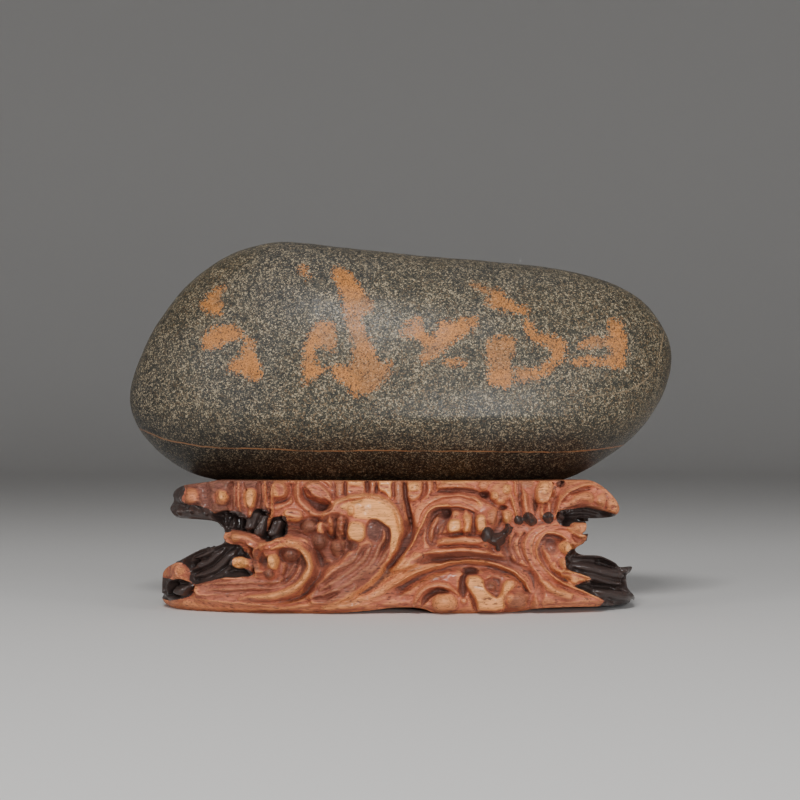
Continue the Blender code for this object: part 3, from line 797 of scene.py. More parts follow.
class StoneSettings(bpy.types.PropertyGroup):
    cuts: bpy.props.IntProperty(
        name="Cuts", description="Cuts along each side of the cube it starts as", default=118, min=8
    )
    grain: length_property("Grain", "Width of the stone's mineral grains", 0.00054)
    dark: colour_property("Dark grain", "Colour of the darkest mineral", (0.008, 0.008, 0.007))
    mid: colour_property("Body", "Main colour of the stone", (0.050, 0.045, 0.0305))
    light: colour_property("Light grain", "Colour of the palest mineral", (0.43, 0.347, 0.225))
    tan: colour_property("Inclusions", "Colour of the tan inclusions", (0.63, 0.240, 0.055))


class StandSettings(bpy.types.PropertyGroup):
    relief: bpy.props.FloatProperty(
        name="Relief", description="How deep the carving is, 1 being as drawn", default=1.9, min=0.0, max=2.0
    )
    cell: length_property("Cell", "Cell size of the remeshed carving", 0.00050)
    heart: colour_property("Heartwood", "Main colour of the wood", (0.505, 0.145, 0.081))
    # deep is the painted shade of the grooves and hollows, and also the colour of the pores.
    deep: colour_property("Hollows", "Colour of the wood in the hollows", (0.082, 0.036, 0.029))
    cut: colour_property("Cut faces", "Colour of the pale cut faces", (1.0, 0.435, 0.145))
    ebony: colour_property("Black stain", "Colour of the blackened ends", (0.044, 0.031, 0.029))


# ---------------------------------------------------------------------------------------------
# Modelling helpers
# ---------------------------------------------------------------------------------------------


def deselect_all():
    if bpy.context.object and bpy.context.object.mode != "OBJECT":
        bpy.ops.object.mode_set(mode="OBJECT")
    bpy.ops.object.select_all(action="DESELECT")


def pick(thing):
    """Leaves only this selected and active."""
    deselect_all()
    thing.select_set(True)
    bpy.context.view_layer.objects.active = thing


def edit_all(thing, operator, **settings):
    """Runs an edit-mode operator on the whole mesh."""
    pick(thing)
    bpy.ops.object.mode_set(mode="EDIT")
    bpy.ops.mesh.select_all(action="SELECT")
    operator(**settings)
    bpy.ops.object.mode_set(mode="OBJECT")


def read_rows(items, field, width, kind=float):
    """One property of all of a mesh's points or edges, a row for each."""
    values = np.empty(len(items) * width, kind)
    items.foreach_get(field, values)
    return values.reshape(-1, width)


def points_of(thing):
    return read_rows(thing.data.vertices, "co", 3)


def set_points(thing, points):
    thing.data.vertices.foreach_set("co", np.asarray(points, float).ravel())
    thing.data.update()


def apply_modifier(thing, kind, **settings):
    pick(thing)
    bpy.ops.object.modifier_add(type=kind)
    modifier = thing.modifiers[-1]
    for key, value in settings.items():
        setattr(modifier, key, value)
    bpy.ops.object.modifier_apply(modifier=modifier.name)


def face_out(thing):
    edit_all(thing, bpy.ops.mesh.normals_make_consistent, inside=False)


def add_cutter(name, outline):
    """A cutter right through the stand, whose sides follow the drawing's lines of sight."""
    deselect_all()
    bpy.ops.mesh.primitive_cylinder_add(vertices=len(outline), radius=1, depth=2)
    cutter = bpy.context.object
    cutter.name = name
    points = points_of(cutter)
    turn = np.arctan2(points[:, 0], points[:, 1]) / (2 * math.pi)
    corners = outline[np.round(turn * len(outline)).astype(int) % len(outline)]
    depths = points[:, 2] * CUTTER_HALF_DEPTH
    x, z = from_drawing(corners[:, 0], corners[:, 1], depths)
    set_points(cutter, np.stack((x, depths, z), 1))
    face_out(cutter)
    return cutter


def cut_away(thing, cutter):
    apply_modifier(thing, "BOOLEAN", operation="DIFFERENCE", solver="MANIFOLD", object=cutter)
    bpy.data.objects.remove(cutter)


def add_attribute(thing, name, values):
    attribute = thing.data.attributes.new(name, "FLOAT", "POINT")
    attribute.data.foreach_set("value", np.asarray(values, np.float32))


def smoothed(points, edges, rounds):
    """The points after some rounds of moving each to the mean of its neighbours."""
    count = np.bincount(edges.ravel(), minlength=len(points))[:, None]
    for _ in range(rounds):
        total = np.zeros_like(points)
        for axis in range(3):
            total[:, axis] = np.bincount(edges[:, 0], points[edges[:, 1], axis], len(points))
            total[:, axis] += np.bincount(edges[:, 1], points[edges[:, 0], axis], len(points))
        points = total / np.maximum(count, 1)
    return points


# ---------------------------------------------------------------------------------------------
# The stone
# ---------------------------------------------------------------------------------------------


def shape_stone(stone, grown=0.0):
    """Draws a cube's points out to a ball and then to the stone. grown moves its skin out."""
    outline = smooth_path(STONE_OUTLINE, steps=12, closed=True)
    x, z = from_drawing(outline[:, 0], outline[:, 1])
    directions = np.arctan2(z - STONE_CENTRE_Z, x - STONE_CENTRE_X)
    distances = np.hypot(x - STONE_CENTRE_X, z - STONE_CENTRE_Z)

    spread = np.tan(points_of(stone) * math.pi / 4)
    ball = spread / np.linalg.norm(spread, axis=1)[:, None]
    across = np.hypot(ball[:, 0], ball[:, 2])
    downward = np.maximum(0, -ball[:, 2] / np.maximum(across, 1e-9))
    fullness = STONE_FULLNESS - STONE_UNDERCUT * downward
    size = (across**fullness + np.abs(ball[:, 1]) ** fullness) ** (1 / fullness)
    x = STONE_HALF_LENGTH * ball[:, 0] / size
    z = np.where(ball[:, 2] > 0, STONE_RISE, STONE_DROP) * ball[:, 2] / size
    direction = np.arctan2(z, x)
    edge = np.interp(direction, directions, distances, period=2 * math.pi) * across / size
    edge_share = (across / size) ** 2
    reach = (1 - edge_share) * np.hypot(x, z) + edge_share * edge + grown * across / size
    set_points(stone, np.stack((
        STONE_CENTRE_X + reach * np.cos(direction),
        (STONE_HALF_DEPTH + grown) * ball[:, 1] / size,
        STONE_CENTRE_Z + reach * np.sin(direction),
    ), 1))


def add_cobble(name, cuts, grown=0.0):
    deselect_all()
    bpy.ops.mesh.primitive_cube_add(size=2)
    stone = bpy.context.object
    stone.name = name
    edit_all(stone, bpy.ops.mesh.subdivide, number_cuts=cuts)
    shape_stone(stone, grown)
    return stone


def displace(thing, name, scale, strength, level=0.5, **settings):
    """Moves the skin in and out by a smooth noise. level is the noise value that leaves it still."""
    texture = bpy.data.textures.new(name, "CLOUDS")
    texture.noise_scale = scale
    apply_modifier(thing, "DISPLACE", texture=texture, strength=strength, mid_level=level, **settings)


def add_stone(settings):
    stone = add_cobble("river_stone", settings.cuts)
    displace(stone, "swell", scale=0.045, strength=0.0016)
    displace(stone, "dimples", scale=0.006, strength=0.00035)
    u, v = to_drawing(points_of(stone)).T
    back = points_of(stone)[:, 1] > 0
    inclusion = np.full(len(u), FAR_OUTSIDE)
    for half, outlines in ((~back, FRONT_INCLUSIONS), (back, BACK_INCLUSIONS)):
        for corners in outlines:
            outline = smooth_path(corners, 3, closed=True)
            middle_u, middle_v = outline.mean(0)
            near = half & (np.abs(u - middle_u) < INCLUSION_REACH_U)
            near = np.flatnonzero(near & (np.abs(v - middle_v) < INCLUSION_REACH_V))
            inclusion[near] = np.maximum(inclusion[near], distance_inside(u[near], v[near], outline))
    add_attribute(stone, "inclusion", inclusion)
    for name, points in (("vein", VEIN), ("faint_vein", FAINT_VEIN)):
        distance, side, _ = measure_path(u, v, smooth_path(points))
        add_attribute(stone, name, distance * side)
    pick(stone)
    bpy.ops.object.shade_smooth()
    return stone


# ---------------------------------------------------------------------------------------------
# The stand
# ---------------------------------------------------------------------------------------------

OVAL_SAMPLES = 14401


def oval(count):
    """Evenly spaced points round the stand's plan, each with its outward normal."""
    turn = np.linspace(0, 2 * math.pi, OVAL_SAMPLES)
    cosine, sine = np.cos(turn), np.sin(turn)
    power = 2 / STAND_FULLNESS
    x = STAND_HALF_LENGTH * np.sign(cosine) * np.abs(cosine) ** power
    y = STAND_HALF_DEPTH * np.sign(sine) * np.abs(sine) ** power
    along = np.concatenate(([0], np.cumsum(np.hypot(np.diff(x), np.diff(y)))))
    stops = np.linspace(0, along[-1], count, endpoint=False)
    x, y = np.interp(stops, along, x), np.interp(stops, along, y)
    tangent_x, tangent_y = np.roll(x, -1) - np.roll(x, 1), np.roll(y, -1) - np.roll(y, 1)
    length = np.hypot(tangent_x, tangent_y)
    return np.stack((x, y), 1), np.stack((tangent_y / length, -tangent_x / length), 1)


class Sheet:
    """The whole drawing worked out once: the carving's height in millimetres and its tints, painted shade
    among them.
    """

    left, top, right, bottom = 140.0, 462.0, 660.0, 628.0
    step = 0.5
    # The hand's unsteadiness: cell size and reach of each wave, with its seeds for u and for v.
    waves = ((9, 0.65, 1, 3), (4, 0.22, 2, 4))
    # How quickly a cut's tone and stain reach full strength across its mask.
    tone_gain, stain_gain = 1.4, 2.2

    def __init__(self):
        self.u = np.arange(self.left, self.right, self.step)
        self.v = np.arange(self.top, self.bottom, self.step)
        shape = (len(self.v), len(self.u))
        u, v = np.meshgrid(self.u, self.v)
        wavy_u, wavy_v = u, v
        for cell, reach, seed_u, seed_v in self.waves:
            wavy_u = wavy_u + reach * drift(u, v, cell, seed_u)
            wavy_v = wavy_v + reach * drift(u, v, cell, seed_v)
        self.relief, self.tone, self.ebony = np.zeros(shape), np.zeros(shape), np.zeros(shape)
        for cut in CARVING:
            columns = slice(*np.searchsorted(self.u, (cut.low[0], cut.high[0])))
            rows = slice(*np.searchsorted(self.v, (cut.low[1], cut.high[1])))
            mask = cut.mask(wavy_u[rows, columns], wavy_v[rows, columns])
            self.relief[rows, columns] += cut.height * mask
            if cut.tone is not None:
                tone = self.tone[rows, columns]
                tone += ease(mask * self.tone_gain) * (cut.tone - tone)
            if cut.ebony:
                self.ebony[rows, columns] += cut.ebony * ease(mask * self.stain_gain)
                self.ebony = np.clip(self.ebony, 0, 1)
        chisel_marks = 0.16 * facets(u, v, cell=8.0, seed=5)
        swells = 0.25 * drift(u, v, cell=14, seed=6)
        self.relief += chisel_marks + swells

    def look_up(self, values, places):
        """The values at places on the drawing, evened out between the sheet's points."""
        across = np.clip((places[:, 0] - self.left) / self.step, 0, len(self.u) - 1.001)
        down = np.clip((places[:, 1] - self.top) / self.step, 0, len(self.v) - 1.001)
        column, row = across.astype(int), down.astype(int)
        return evened(values, column, row, across - column, down - row)


def add_carved_drum(settings, sheet):
    """The oval block with the carving on its wall, before its ends are sawn."""
    around, rows = DRUM_CUTS
    deselect_all()
    bpy.ops.mesh.primitive_grid_add(x_subdivisions=around, y_subdivisions=rows, size=2)
    drum = bpy.context.object
    drum.name = "carved_stand"
    flat = points_of(drum)
    column = np.round((flat[:, 0] + 1) / 2 * around).astype(int) % around
    row = np.round((flat[:, 1] + 1) / 2 * rows)
    z = np.clip((row - 1) / (rows - 2), 0, 1) * STAND_HEIGHT
    wall, normals = oval(around)
    inset = np.interp(z, WALL_HEIGHTS, WALL_INSETS)[:, None]
    plain = np.column_stack((wall[column] - inset * normals[column], z))
    outward = np.column_stack((normals[column], np.zeros(len(z))))
    # The relief moves a point on the drawing as well, so it is looked up again from where it went.
    carved = plain
    for _ in range(2):
        relief = sheet.look_up(sheet.relief, to_drawing(carved)) * MM * settings.relief
        carved = plain + relief[:, None] * outward
    # The first and last rows gather at the middle, which closes the foot and the top.
    carved[(row < 0.5) | (row > rows - 0.5), :2] = 0
    set_points(drum, carved)
    edit_all(drum, bpy.ops.mesh.remove_doubles, threshold=WELD)
    face_out(drum)
    return drum


RIM_SLACK = 0.003
SAWN_INSIDE, SAWN_BLEND = 0.86, 0.12  # as shares of the oval
WORN_FROM, WORN_FROM_BLEND = -0.62, 0.35  # as shares of the half depth
WORN_TO, WORN_TO_BLEND = 0.98, 0.25
ENDS_FROM, ENDS_BLEND = 0.080, 0.012  # distance from the middle of the stand
FOOT_BLEND = 0.008
TOP_MARGIN, TOP_BLEND = 0.001, 0.006


def rim_place(points):
    """How far out each point is, 1 at the oval's edge, and its depth there, -1 front to 1 back."""
    x, y, _ = points.T
    across = np.minimum((np.abs(x) / STAND_HALF_LENGTH) ** STAND_FULLNESS, 1)
    fullness = (across + (np.abs(y) / STAND_HALF_DEPTH) ** STAND_FULLNESS) ** (1 / STAND_FULLNESS)
    depth = y / (STAND_HALF_DEPTH * (1 - across) ** (1 / STAND_FULLNESS) + RIM_SLACK)
    return fullness, depth


def sawn_share(points):
    """1 on the faces left by the saw, inside the carved wall."""
    fullness, _ = rim_place(points)
    return ease((SAWN_INSIDE - fullness) / SAWN_BLEND)


def worn_share(points):
    """1 behind the front wall, where the sawn faces are also worn inwards."""
    _, depth = rim_place(points)
    return ease((depth - WORN_FROM) / WORN_FROM_BLEND) * ease((WORN_TO - depth) / WORN_TO_BLEND)


# Each kind's name and place, then its noise's width, its strength and the value that leaves it still.
WEATHERING = (
    ("sawn_face", sawn_share, 0.009, 0.003, 0.70),
    ("worn_face", worn_share, 0.013, 0.006, 0.80),
)


def weather_ends(stand):
    """Makes the sawn faces at both ends uneven."""
    for name, share_at, scale, strength, level in WEATHERING:
        points = points_of(stand)
        x, _, z = points.T
        share = share_at(points) * ease((np.abs(x) - ENDS_FROM) / ENDS_BLEND)
        share *= ease(z / FOOT_BLEND) * ease((STAND_HEIGHT - TOP_MARGIN - z) / TOP_BLEND)
        share = np.round(share, 1)
        group = stand.vertex_groups.new(name=name)
        for weight in np.unique(share[share > 0]):
            group.add(np.flatnonzero(share == weight).tolist(), float(weight), "REPLACE")
        displace(stand, name, scale, strength, level, vertex_group=name)


def add_stand(settings):
    sheet = Sheet()
    stand = add_carved_drum(settings, sheet)
    cut_away(stand, add_cutter("left_end", smooth_path(LEFT_SAW_CUT, 4, closed=True)))
    cut_away(stand, add_cutter("right_end", smooth_path(RIGHT_SAW_CUT, 4, closed=True)))
    below = np.vstack((BELOW_LEFT, smooth_path(FOOT_EDGE, 4), BELOW_RIGHT))
    cut_away(stand, add_cutter("under_foot", below))
    cut_away(stand, add_cobble("seat", SEAT_CUTS, grown=SEAT_GAP))
    cell = settings.cell * 1.0
    apply_modifier(stand, "REMESH", mode="VOXEL", voxel_size=cell, use_smooth_shade=True)
    apply_modifier(stand, "SMOOTH", factor=0.5, iterations=1)
    weather_ends(stand)
    kept = min(1.0, STAND_TRIANGLES / (2 * len(stand.data.polygons)))
    apply_modifier(stand, "DECIMATE", decimate_type="COLLAPSE", ratio=kept)

    points = points_of(stand)
    places = to_drawing(points)
    edges = read_rows(stand.data.edges, "vertices", 2, np.int32)
    normals = read_rows(stand.data.vertices, "normal", 3)
    # The first attribute finds the worn edges; the second measures how far each point lies in a hollow,
    # where the wood is painted in shade.
    for name, rounds in (("edge_wear", EDGE_ROUNDS), ("hollow_shade", HOLLOW_ROUNDS)):
        proud = ((points - smoothed(points, edges, rounds)) * normals).sum(1)
        add_attribute(stand, name, proud / MM)
    add_attribute(stand, "tone", sheet.look_up(sheet.tone, places))
    add_attribute(stand, "ebony", sheet.look_up(sheet.ebony, places))
    pick(stand)
    bpy.ops.object.shade_smooth()
    return stand


# ---------------------------------------------------------------------------------------------
# Materials
# ---------------------------------------------------------------------------------------------


class Nodes:
    """A small helper for building a material's node tree."""

    def __init__(self, name):
        self.material = bpy.data.materials.new(name)
        self.material.use_nodes = True
        self.tree = self.material.node_tree
        self.shader = self.tree.nodes["Principled BSDF"]
        self.position = self.tree.nodes.new("ShaderNodeTexCoord").outputs["Object"]

    def link(self, source, target):
        if isinstance(source, bpy.types.NodeSocket):
            self.tree.links.new(source, target)
        else:
            target.default_value = source

    def node(self, kind, inputs=None, **settings):
        node = self.tree.nodes.new(kind)
        for key, value in settings.items():
            setattr(node, key, value)
        for key, value in (inputs or {}).items():
            self.link(value, node.inputs[key])
        return node

    def attribute(self, name):
        return self.node("ShaderNodeAttribute", attribute_name=name).outputs["Fac"]

    def along_x(self, share, turn=0.0):
        """The place with its x shrunk to a share, which draws a noise out along the piece."""
        inputs = {"Vector": self.position, "Scale": (share, 1.0, 1.0), "Rotation": (0.0, turn, 0.0)}
        return self.node("ShaderNodeMapping", inputs).outputs["Vector"]

    def noise(self, scale, detail=2.0, roughness=0.5, vector=None, distortion=0.0):
        return self.node(
            "ShaderNodeTexNoise",
            {"Vector": vector or self.position, "Scale": scale, "Detail": detail, "Roughness": roughness,
             "Distortion": distortion},
        ).outputs["Fac"]

    def math(self, operation, first, second=0.0):
        return self.node("ShaderNodeMath", {0: first, 1: second}, operation=operation).outputs[0]

    def centred(self, value, reach):
        """A noise or random value round 0.5, moved round 0 and stretched to a reach."""
        return self.math("MULTIPLY", self.math("SUBTRACT", value, 0.5), reach)

    def span(self, value, low, high, to_low=0.0, to_high=1.0, smooth=True):
        """The value stretched from one span to another and held there."""
        return self.node(
            "ShaderNodeMapRange",
            {"Value": value, "From Min": low, "From Max": high, "To Min": to_low, "To Max": to_high},
            interpolation_type="SMOOTHSTEP" if smooth else "LINEAR",
        ).outputs["Result"]

    def mix(self, share, first, second, blend="MIX"):
        node = self.node("ShaderNodeMix", data_type="RGBA", blend_type=blend)
        self.link(share, node.inputs[0])
        for value, socket in ((first, node.inputs[6]), (second, node.inputs[7])):
            self.link(value if isinstance(value, bpy.types.NodeSocket) else (*value, 1.0), socket)
        return node.outputs[2]

    def bump(self, height, distance, strength=1.0, normal=None):
        node = self.node("ShaderNodeBump", {"Height": height, "Distance": distance, "Strength": strength})
        if normal:
            self.link(normal, node.inputs["Normal"])
        return node.outputs["Normal"]


GREY_BODY = (0.051, 0.0495, 0.0435)
RUST = (0.20, 0.12, 0.055)
# The painted shade below the stone's long vein.
BELOW_VEIN_SHADE = (0.24, 0.235, 0.215)
# Each vein's attribute, its strength and its colour.
VEIN_LOOKS = (
    ("vein", 0.80, (0.33, 0.150, 0.062)),
    ("faint_vein", 0.60, (0.34, 0.24, 0.14)),
)
PALE_HEART = (0.64, 0.222, 0.124)
BROWN_EBONY = (0.058, 0.037, 0.031)


def times(colour, share):
    return tuple(share * channel for channel in colour)


def stone_material(settings):
    nodes = Nodes("river_stone")
    grain = 1 / settings.grain

    def cells(scale):
        inputs = {"Vector": nodes.position, "Scale": scale}
        colour = nodes.node("ShaderNodeTexVoronoi", inputs).outputs["Color"]
        return nodes.node("ShaderNodeSeparateColor", {"Color": colour}).outputs

    # The grains: two sizes of them, darker, paler and here and there rusty.
    large, small = cells(grain * 0.72), cells(grain * 1.25)
    speck = nodes.math("ADD", nodes.math("MULTIPLY", large[0], 0.5), nodes.math("MULTIPLY", small[1], 0.5))
    tone = nodes.noise(11.0, 3.0, 0.55)
    speck = nodes.math("ADD", speck, nodes.centred(nodes.noise(210.0, 3.0, 0.6), 0.5))
    grey = nodes.mix(nodes.span(tone, 0.42, 0.62), settings.mid, GREY_BODY)
    body = nodes.mix(nodes.span(speck, 0.10, 0.50), settings.dark, grey)
    body = nodes.mix(nodes.span(speck, 0.58, 0.90), body, settings.light)
    rusty = nodes.span(large[2], 0.80, 0.86, 0.0, 0.55)
    rusty = nodes.math("MULTIPLY", rusty, nodes.span(tone, 0.35, 0.6, 1.0, 0.35))
    body = nodes.mix(rusty, body, RUST)

    # The inclusions: ragged at the edge, dark grains showing through, faded in places.
    ragged = nodes.centred(nodes.noise(260.0, 4.0, 0.75), 13.0)
    dither = nodes.centred(large[1], 7.0)
    edge = nodes.math("ADD", nodes.math("ADD", nodes.attribute("inclusion"), ragged), dither)
    faded = nodes.span(nodes.noise(42.0, 3.0, 0.6), 0.36, 0.56, 0.55, 1.0)
    mineral = nodes.math("MULTIPLY", nodes.span(edge, -0.6, 1.6), faded)
    mineral = nodes.math("MULTIPLY", mineral, nodes.span(speck, 0.20, 0.42, 0.15, 1.0))
    tan = nodes.mix(nodes.span(small[0], 0.1, 0.9), times(settings.tan, 0.55), settings.tan)
    body = nodes.mix(nodes.math("MULTIPLY", mineral, 0.92), body, tan)

    # Painted shade: the stone is darker below its long vein, where its belly turns under.
    below = nodes.span(nodes.attribute("vein"), -40.0, 14.0)
    below = nodes.math("MULTIPLY", below, nodes.span(speck, 0.50, 0.80, 1.0, 0.70))
    body = nodes.mix(below, body, BELOW_VEIN_SHADE, "MULTIPLY")

    wander = nodes.centred(nodes.noise(120.0, 3.0, 0.6), 2.6)
    for name, strength, colour in VEIN_LOOKS:
        line = nodes.math("ABSOLUTE", nodes.math("ADD", nodes.attribute(name), wander))
        broken = nodes.span(nodes.noise(70.0, 2.0), 0.38, 0.55, 0.4, 1.0)
        share = nodes.math("MULTIPLY", nodes.span(line, 0.2, 0.95, strength, 0.0), broken)
        body = nodes.mix(share, body, colour)

    nodes.link(body, nodes.shader.inputs["Base Color"])
    rough = nodes.span(small[0], 0.0, 1.0, 0.30, 0.55, smooth=False)
    nodes.link(rough, nodes.shader.inputs["Roughness"])
    pits = nodes.bump(speck, 0.00014, 0.75)
    skin = nodes.bump(nodes.noise(55.0, 4.0, 0.6), 0.0010, 0.35, pits)
    nodes.link(skin, nodes.shader.inputs["Normal"])
    nodes.shader.inputs["Specular IOR Level"].default_value = 0.42
    return nodes.material


def wood_material(settings):
    nodes = Nodes("carved_wood")
    tone, ebony = nodes.attribute("tone"), nodes.attribute("ebony")
    hollow_shade, wear = nodes.attribute("hollow_shade"), nodes.attribute("edge_wear")

    # The grain runs along the stand.
    streaks = nodes.noise(1150.0, 4.0, 0.65, nodes.along_x(0.07, math.radians(2)), 0.6)
    bands = nodes.noise(120.0, 4.0, 0.6, nodes.along_x(0.18), 0.8)
    pores = nodes.noise(950.0, 2.0, 0.55, nodes.along_x(0.30))
    blotches = nodes.noise(180.0, 4.0, 0.65)
    dark_heart = times(settings.heart, 0.56)
    colour = nodes.mix(nodes.span(streaks, 0.36, 0.62), dark_heart, settings.heart)
    colour = nodes.mix(nodes.span(bands, 0.42, 0.66, 0.0, 0.6), colour, PALE_HEART)
    colour = nodes.mix(nodes.span(blotches, 0.54, 0.70, 0.0, 0.4), colour, dark_heart)

    # Pale cut faces (a few of them painted highlights) and worn edges, then painted shade in the grooves and
    # hollows, then the dark pores.
    cut_face = nodes.mix(nodes.span(streaks, 0.38, 0.60), times(settings.cut, 0.62), settings.cut)
    colour = nodes.mix(nodes.span(wear, 0.06, 0.26, 0.0, 0.24), colour, cut_face)
    colour = nodes.mix(nodes.span(tone, 0.0, 1.0, 0.0, 0.95, smooth=False), colour, cut_face)
    shade = nodes.mix(nodes.span(streaks, 0.35, 0.65), settings.deep, times(settings.deep, 2.2))
    # Painted shade: low tone and deep hollows mix the wood towards the shade colour.
    sunk = nodes.span(tone, -0.05, -0.95, smooth=False)
    sunk = nodes.math("MAXIMUM", sunk, nodes.span(hollow_shade, -0.7, -3.4))
    colour = nodes.mix(nodes.math("MULTIPLY", sunk, 0.92), colour, shade)
    speckled = nodes.span(pores, 0.58, 0.66, 0.0, 0.8)
    speckled = nodes.math("MULTIPLY", speckled, nodes.span(bands, 0.3, 0.6, 0.35, 1.0))
    colour = nodes.mix(speckled, colour, settings.deep)

    # The black stain, uneven at its edge.
    black = nodes.span(nodes.math("ADD", ebony, nodes.centred(blotches, 0.8)), 0.36, 0.60)
    stain = nodes.mix(nodes.span(streaks, 0.4, 0.6), settings.ebony, BROWN_EBONY)
    nodes.link(nodes.mix(black, colour, stain), nodes.shader.inputs["Base Color"])

    # The polish is thin on the bare wood and thicker on the black.
    rough = nodes.span(streaks, 0.3, 0.7, 0.50, 0.66)
    rough = nodes.math("SUBTRACT", rough, nodes.math("MULTIPLY", black, 0.20))
    nodes.link(rough, nodes.shader.inputs["Roughness"])
    coat = nodes.span(black, 0.0, 1.0, 0.16, 0.55, smooth=False)
    nodes.link(coat, nodes.shader.inputs["Coat Weight"])
    nodes.shader.inputs["Coat Roughness"].default_value = 0.10
    nodes.shader.inputs["Specular IOR Level"].default_value = 0.18
    fine = nodes.bump(streaks, 0.00016, 0.7)
    fine = nodes.bump(pores, 0.00016, 0.4, fine)
    fine = nodes.bump(nodes.noise(300.0, 3.0, 0.55), 0.0006, 0.4, fine)
    nodes.link(fine, nodes.shader.inputs["Normal"])
    return nodes.material


def finish_piece(piece, node, material):
    piece.data.materials.clear()
    piece.data.materials.append(material)
    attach(piece, "root")
    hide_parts(node)


# ---------------------------------------------------------------------------------------------
# Operators
# ---------------------------------------------------------------------------------------------


class OBJECT_OT_add_river_stone(bpy.types.Operator):
    """Add the smooth river stone with its tan inclusions and thin vein"""

    bl_idname = "object.add_river_stone"
    bl_label = "River stone"

    def execute(self, context):
        settings = context.scene.rock_stone
        finish_piece(add_stone(settings), "stone", stone_material(settings))
        return {"FINISHED"}


class OBJECT_OT_add_carved_stand(bpy.types.Operator):
    """Add the stand carved with wave curls"""

    bl_idname = "object.add_carved_stand"
    bl_label = "Carved stand"

    def execute(self, context):
        settings = context.scene.rock_stand
        finish_piece(add_stand(settings), "stand", wood_material(settings))
        return {"FINISHED"}


class OBJECT_OT_add_rock_studio(bpy.types.Operator):
    """Add a plain pale floor, soft lights and the camera"""

    bl_idname = "object.add_rock_studio"
    bl_label = "Studio"

    def execute(self, context):
        add_floor()
        add_lights()
        add_camera()
        return {"FINISHED"}


FLOOR_RADIUS = 3.0
CORNER_RADIUS = 0.9
CORNER_STEPS = 9
WALL_TOP = 3.0
FLOOR_COLOUR = (0.72, 0.71, 0.70, 1.0)
FLOOR_ROUGHNESS = 0.85
LIT_PLACE = (0.0, 0.0, 0.10)
WHITE = (1.0, 1.0, 1.0)
# Each lamp's name, place, size, power in watts and colour.
LAMPS = (
    ("front", (0.42, -1.7, 0.235), (0.8, 0.12), 13.9, (0.97, 0.985, 1.0)),
    ("key", (-0.15, -1.15, 1.2), (0.42, 0.24), 13.9, (1.0, 0.99, 0.97)),
    ("left", (-1.1, -0.9, 0.7), (0.35, 0.35), 3.4, WHITE),
    ("right", (1.1, -0.9, 0.7), (0.35, 0.35), 3.2, WHITE),
    ("top", (0.1, 0.1, 1.3), (1.0, 0.7), 1.2, WHITE),
)
SKY_COLOUR = (0.80, 0.80, 0.80, 1.0)
SKY_STRENGTH = 0.13
SENSOR_WIDTH = 36.0


def add_floor():
    """A round floor whose edge curves up into a wall all round."""
    deselect_all()
    bpy.ops.mesh.primitive_circle_add(vertices=96, radius=FLOOR_RADIUS, fill_type="NGON")
    floor = bpy.context.object
    floor.name = "floor"
    turns = np.linspace(0, math.pi / 2, CORNER_STEPS + 1)
    radii = FLOOR_RADIUS + CORNER_RADIUS * np.sin(turns)
    heights = CORNER_RADIUS * (1 - np.cos(turns))
    bpy.ops.object.mode_set(mode="EDIT")
    select_rim()
    for rise, growth in zip(np.diff(heights), radii[1:] / radii[:-1]):
        bpy.ops.mesh.extrude_edges_move(TRANSFORM_OT_translate={"value": (0, 0, rise)})
        bpy.ops.transform.resize(value=(growth, growth, 1))
    bpy.ops.mesh.extrude_edges_move(TRANSFORM_OT_translate={"value": (0, 0, WALL_TOP - CORNER_RADIUS)})
    bpy.ops.object.mode_set(mode="OBJECT")
    bpy.ops.object.shade_smooth()
    nodes = Nodes("floor")
    nodes.shader.inputs["Base Color"].default_value = FLOOR_COLOUR
    nodes.shader.inputs["Roughness"].default_value = FLOOR_ROUGHNESS
    floor.data.materials.append(nodes.material)


def select_rim():
    """Selects the open edge, in edit mode."""
    bpy.ops.mesh.select_mode(type="EDGE")
    bpy.ops.mesh.select_all(action="DESELECT")
    bpy.ops.mesh.select_non_manifold(
        extend=False, use_wire=False, use_boundary=True, use_multi_face=False, use_non_contiguous=False,
        use_verts=False,
    )


def add_lamp(name, place, size, power, colour):
    """A soft rectangular lamp that shines on the middle of the object."""
    bpy.ops.object.light_add(type="AREA", location=place)
    lamp = bpy.context.object
    lamp.name = name
    lamp.data.shape = "RECTANGLE"
    lamp.data.size, lamp.data.size_y = size
    lamp.data.energy = power
    lamp.data.color = colour
    away = np.array(place) - np.array(LIT_PLACE)
    tilt = math.acos(away[2] / np.linalg.norm(away))
    lamp.rotation_euler = (tilt, 0, math.atan2(away[1], away[0]) + math.pi / 2)


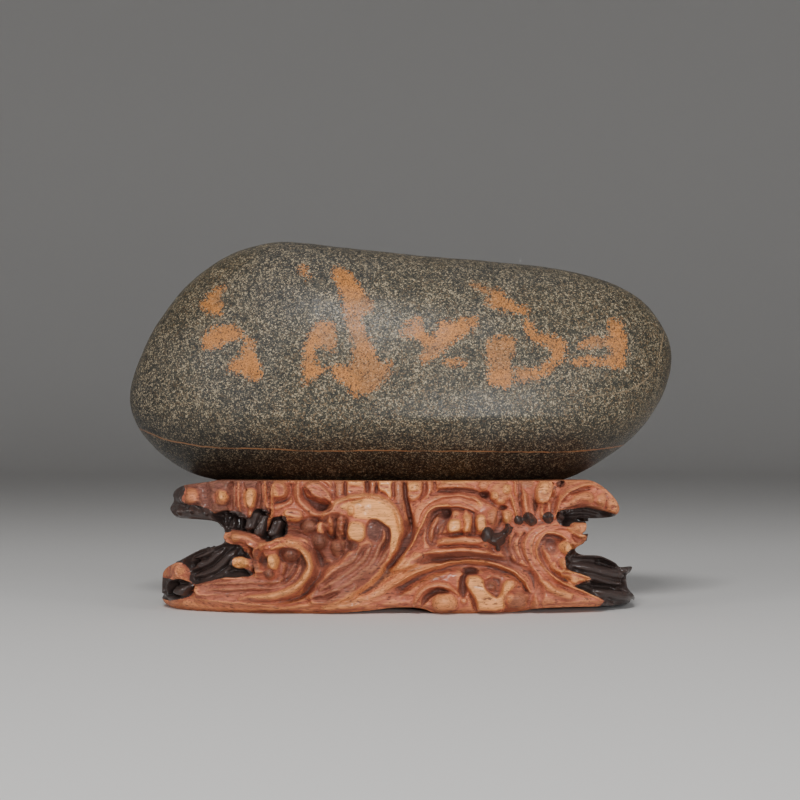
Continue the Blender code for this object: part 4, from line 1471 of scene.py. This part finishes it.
def add_lights():
    for lamp in LAMPS:
        add_lamp(*lamp)
    world = bpy.data.worlds.new("studio")
    bpy.context.scene.world = world
    world.use_nodes = True
    sky = world.node_tree.nodes["Background"]
    sky.inputs["Color"].default_value = SKY_COLOUR
    sky.inputs["Strength"].default_value = SKY_STRENGTH


def add_camera():
    """A level camera at the drawing's eye."""
    bpy.ops.object.camera_add(location=(0, -EYE_DISTANCE, EYE_HEIGHT), rotation=(math.pi / 2, 0, 0))
    camera = bpy.context.object
    camera.name = "camera"
    camera.data.sensor_width = SENSOR_WIDTH
    camera.data.lens = SENSOR_WIDTH * DRAWING_SCALE * EYE_DISTANCE / DRAWING_WIDTH
    camera.data.shift_y = (EYE_V - DRAWING_WIDTH / 2) / DRAWING_WIDTH
    camera.data.clip_start, camera.data.clip_end = 0.01, 20
    bpy.context.scene.camera = camera


class VIEW3D_PT_rock(bpy.types.Panel):
    bl_label = "Scholar's rock"
    bl_idname = "VIEW3D_PT_rock"
    bl_space_type = "VIEW_3D"
    bl_region_type = "UI"
    bl_category = "Rock"

    def draw(self, context):
        layout = self.layout
        for operator in BUILD_ORDER:
            layout.operator(operator.bl_idname)
        for settings in (context.scene.rock_stone, context.scene.rock_stand):
            box = layout.box()
            for name in settings.__annotations__:
                box.prop(settings, name)


BUILD_ORDER = (OBJECT_OT_add_river_stone, OBJECT_OT_add_carved_stand, OBJECT_OT_add_rock_studio)
CLASSES = (StoneSettings, StandSettings, *BUILD_ORDER, VIEW3D_PT_rock)


def register():
    for each in CLASSES:
        bpy.utils.register_class(each)
    bpy.types.Scene.rock_stone = bpy.props.PointerProperty(type=StoneSettings)
    bpy.types.Scene.rock_stand = bpy.props.PointerProperty(type=StandSettings)


def unregister():
    del bpy.types.Scene.rock_stone
    del bpy.types.Scene.rock_stand
    for each in reversed(CLASSES):
        bpy.utils.unregister_class(each)


def main():
    register()
    bpy.ops.object.add_river_stone()
    bpy.ops.object.add_carved_stand()
    bpy.ops.object.add_rock_studio()


if __name__ == "__main__":
    main()
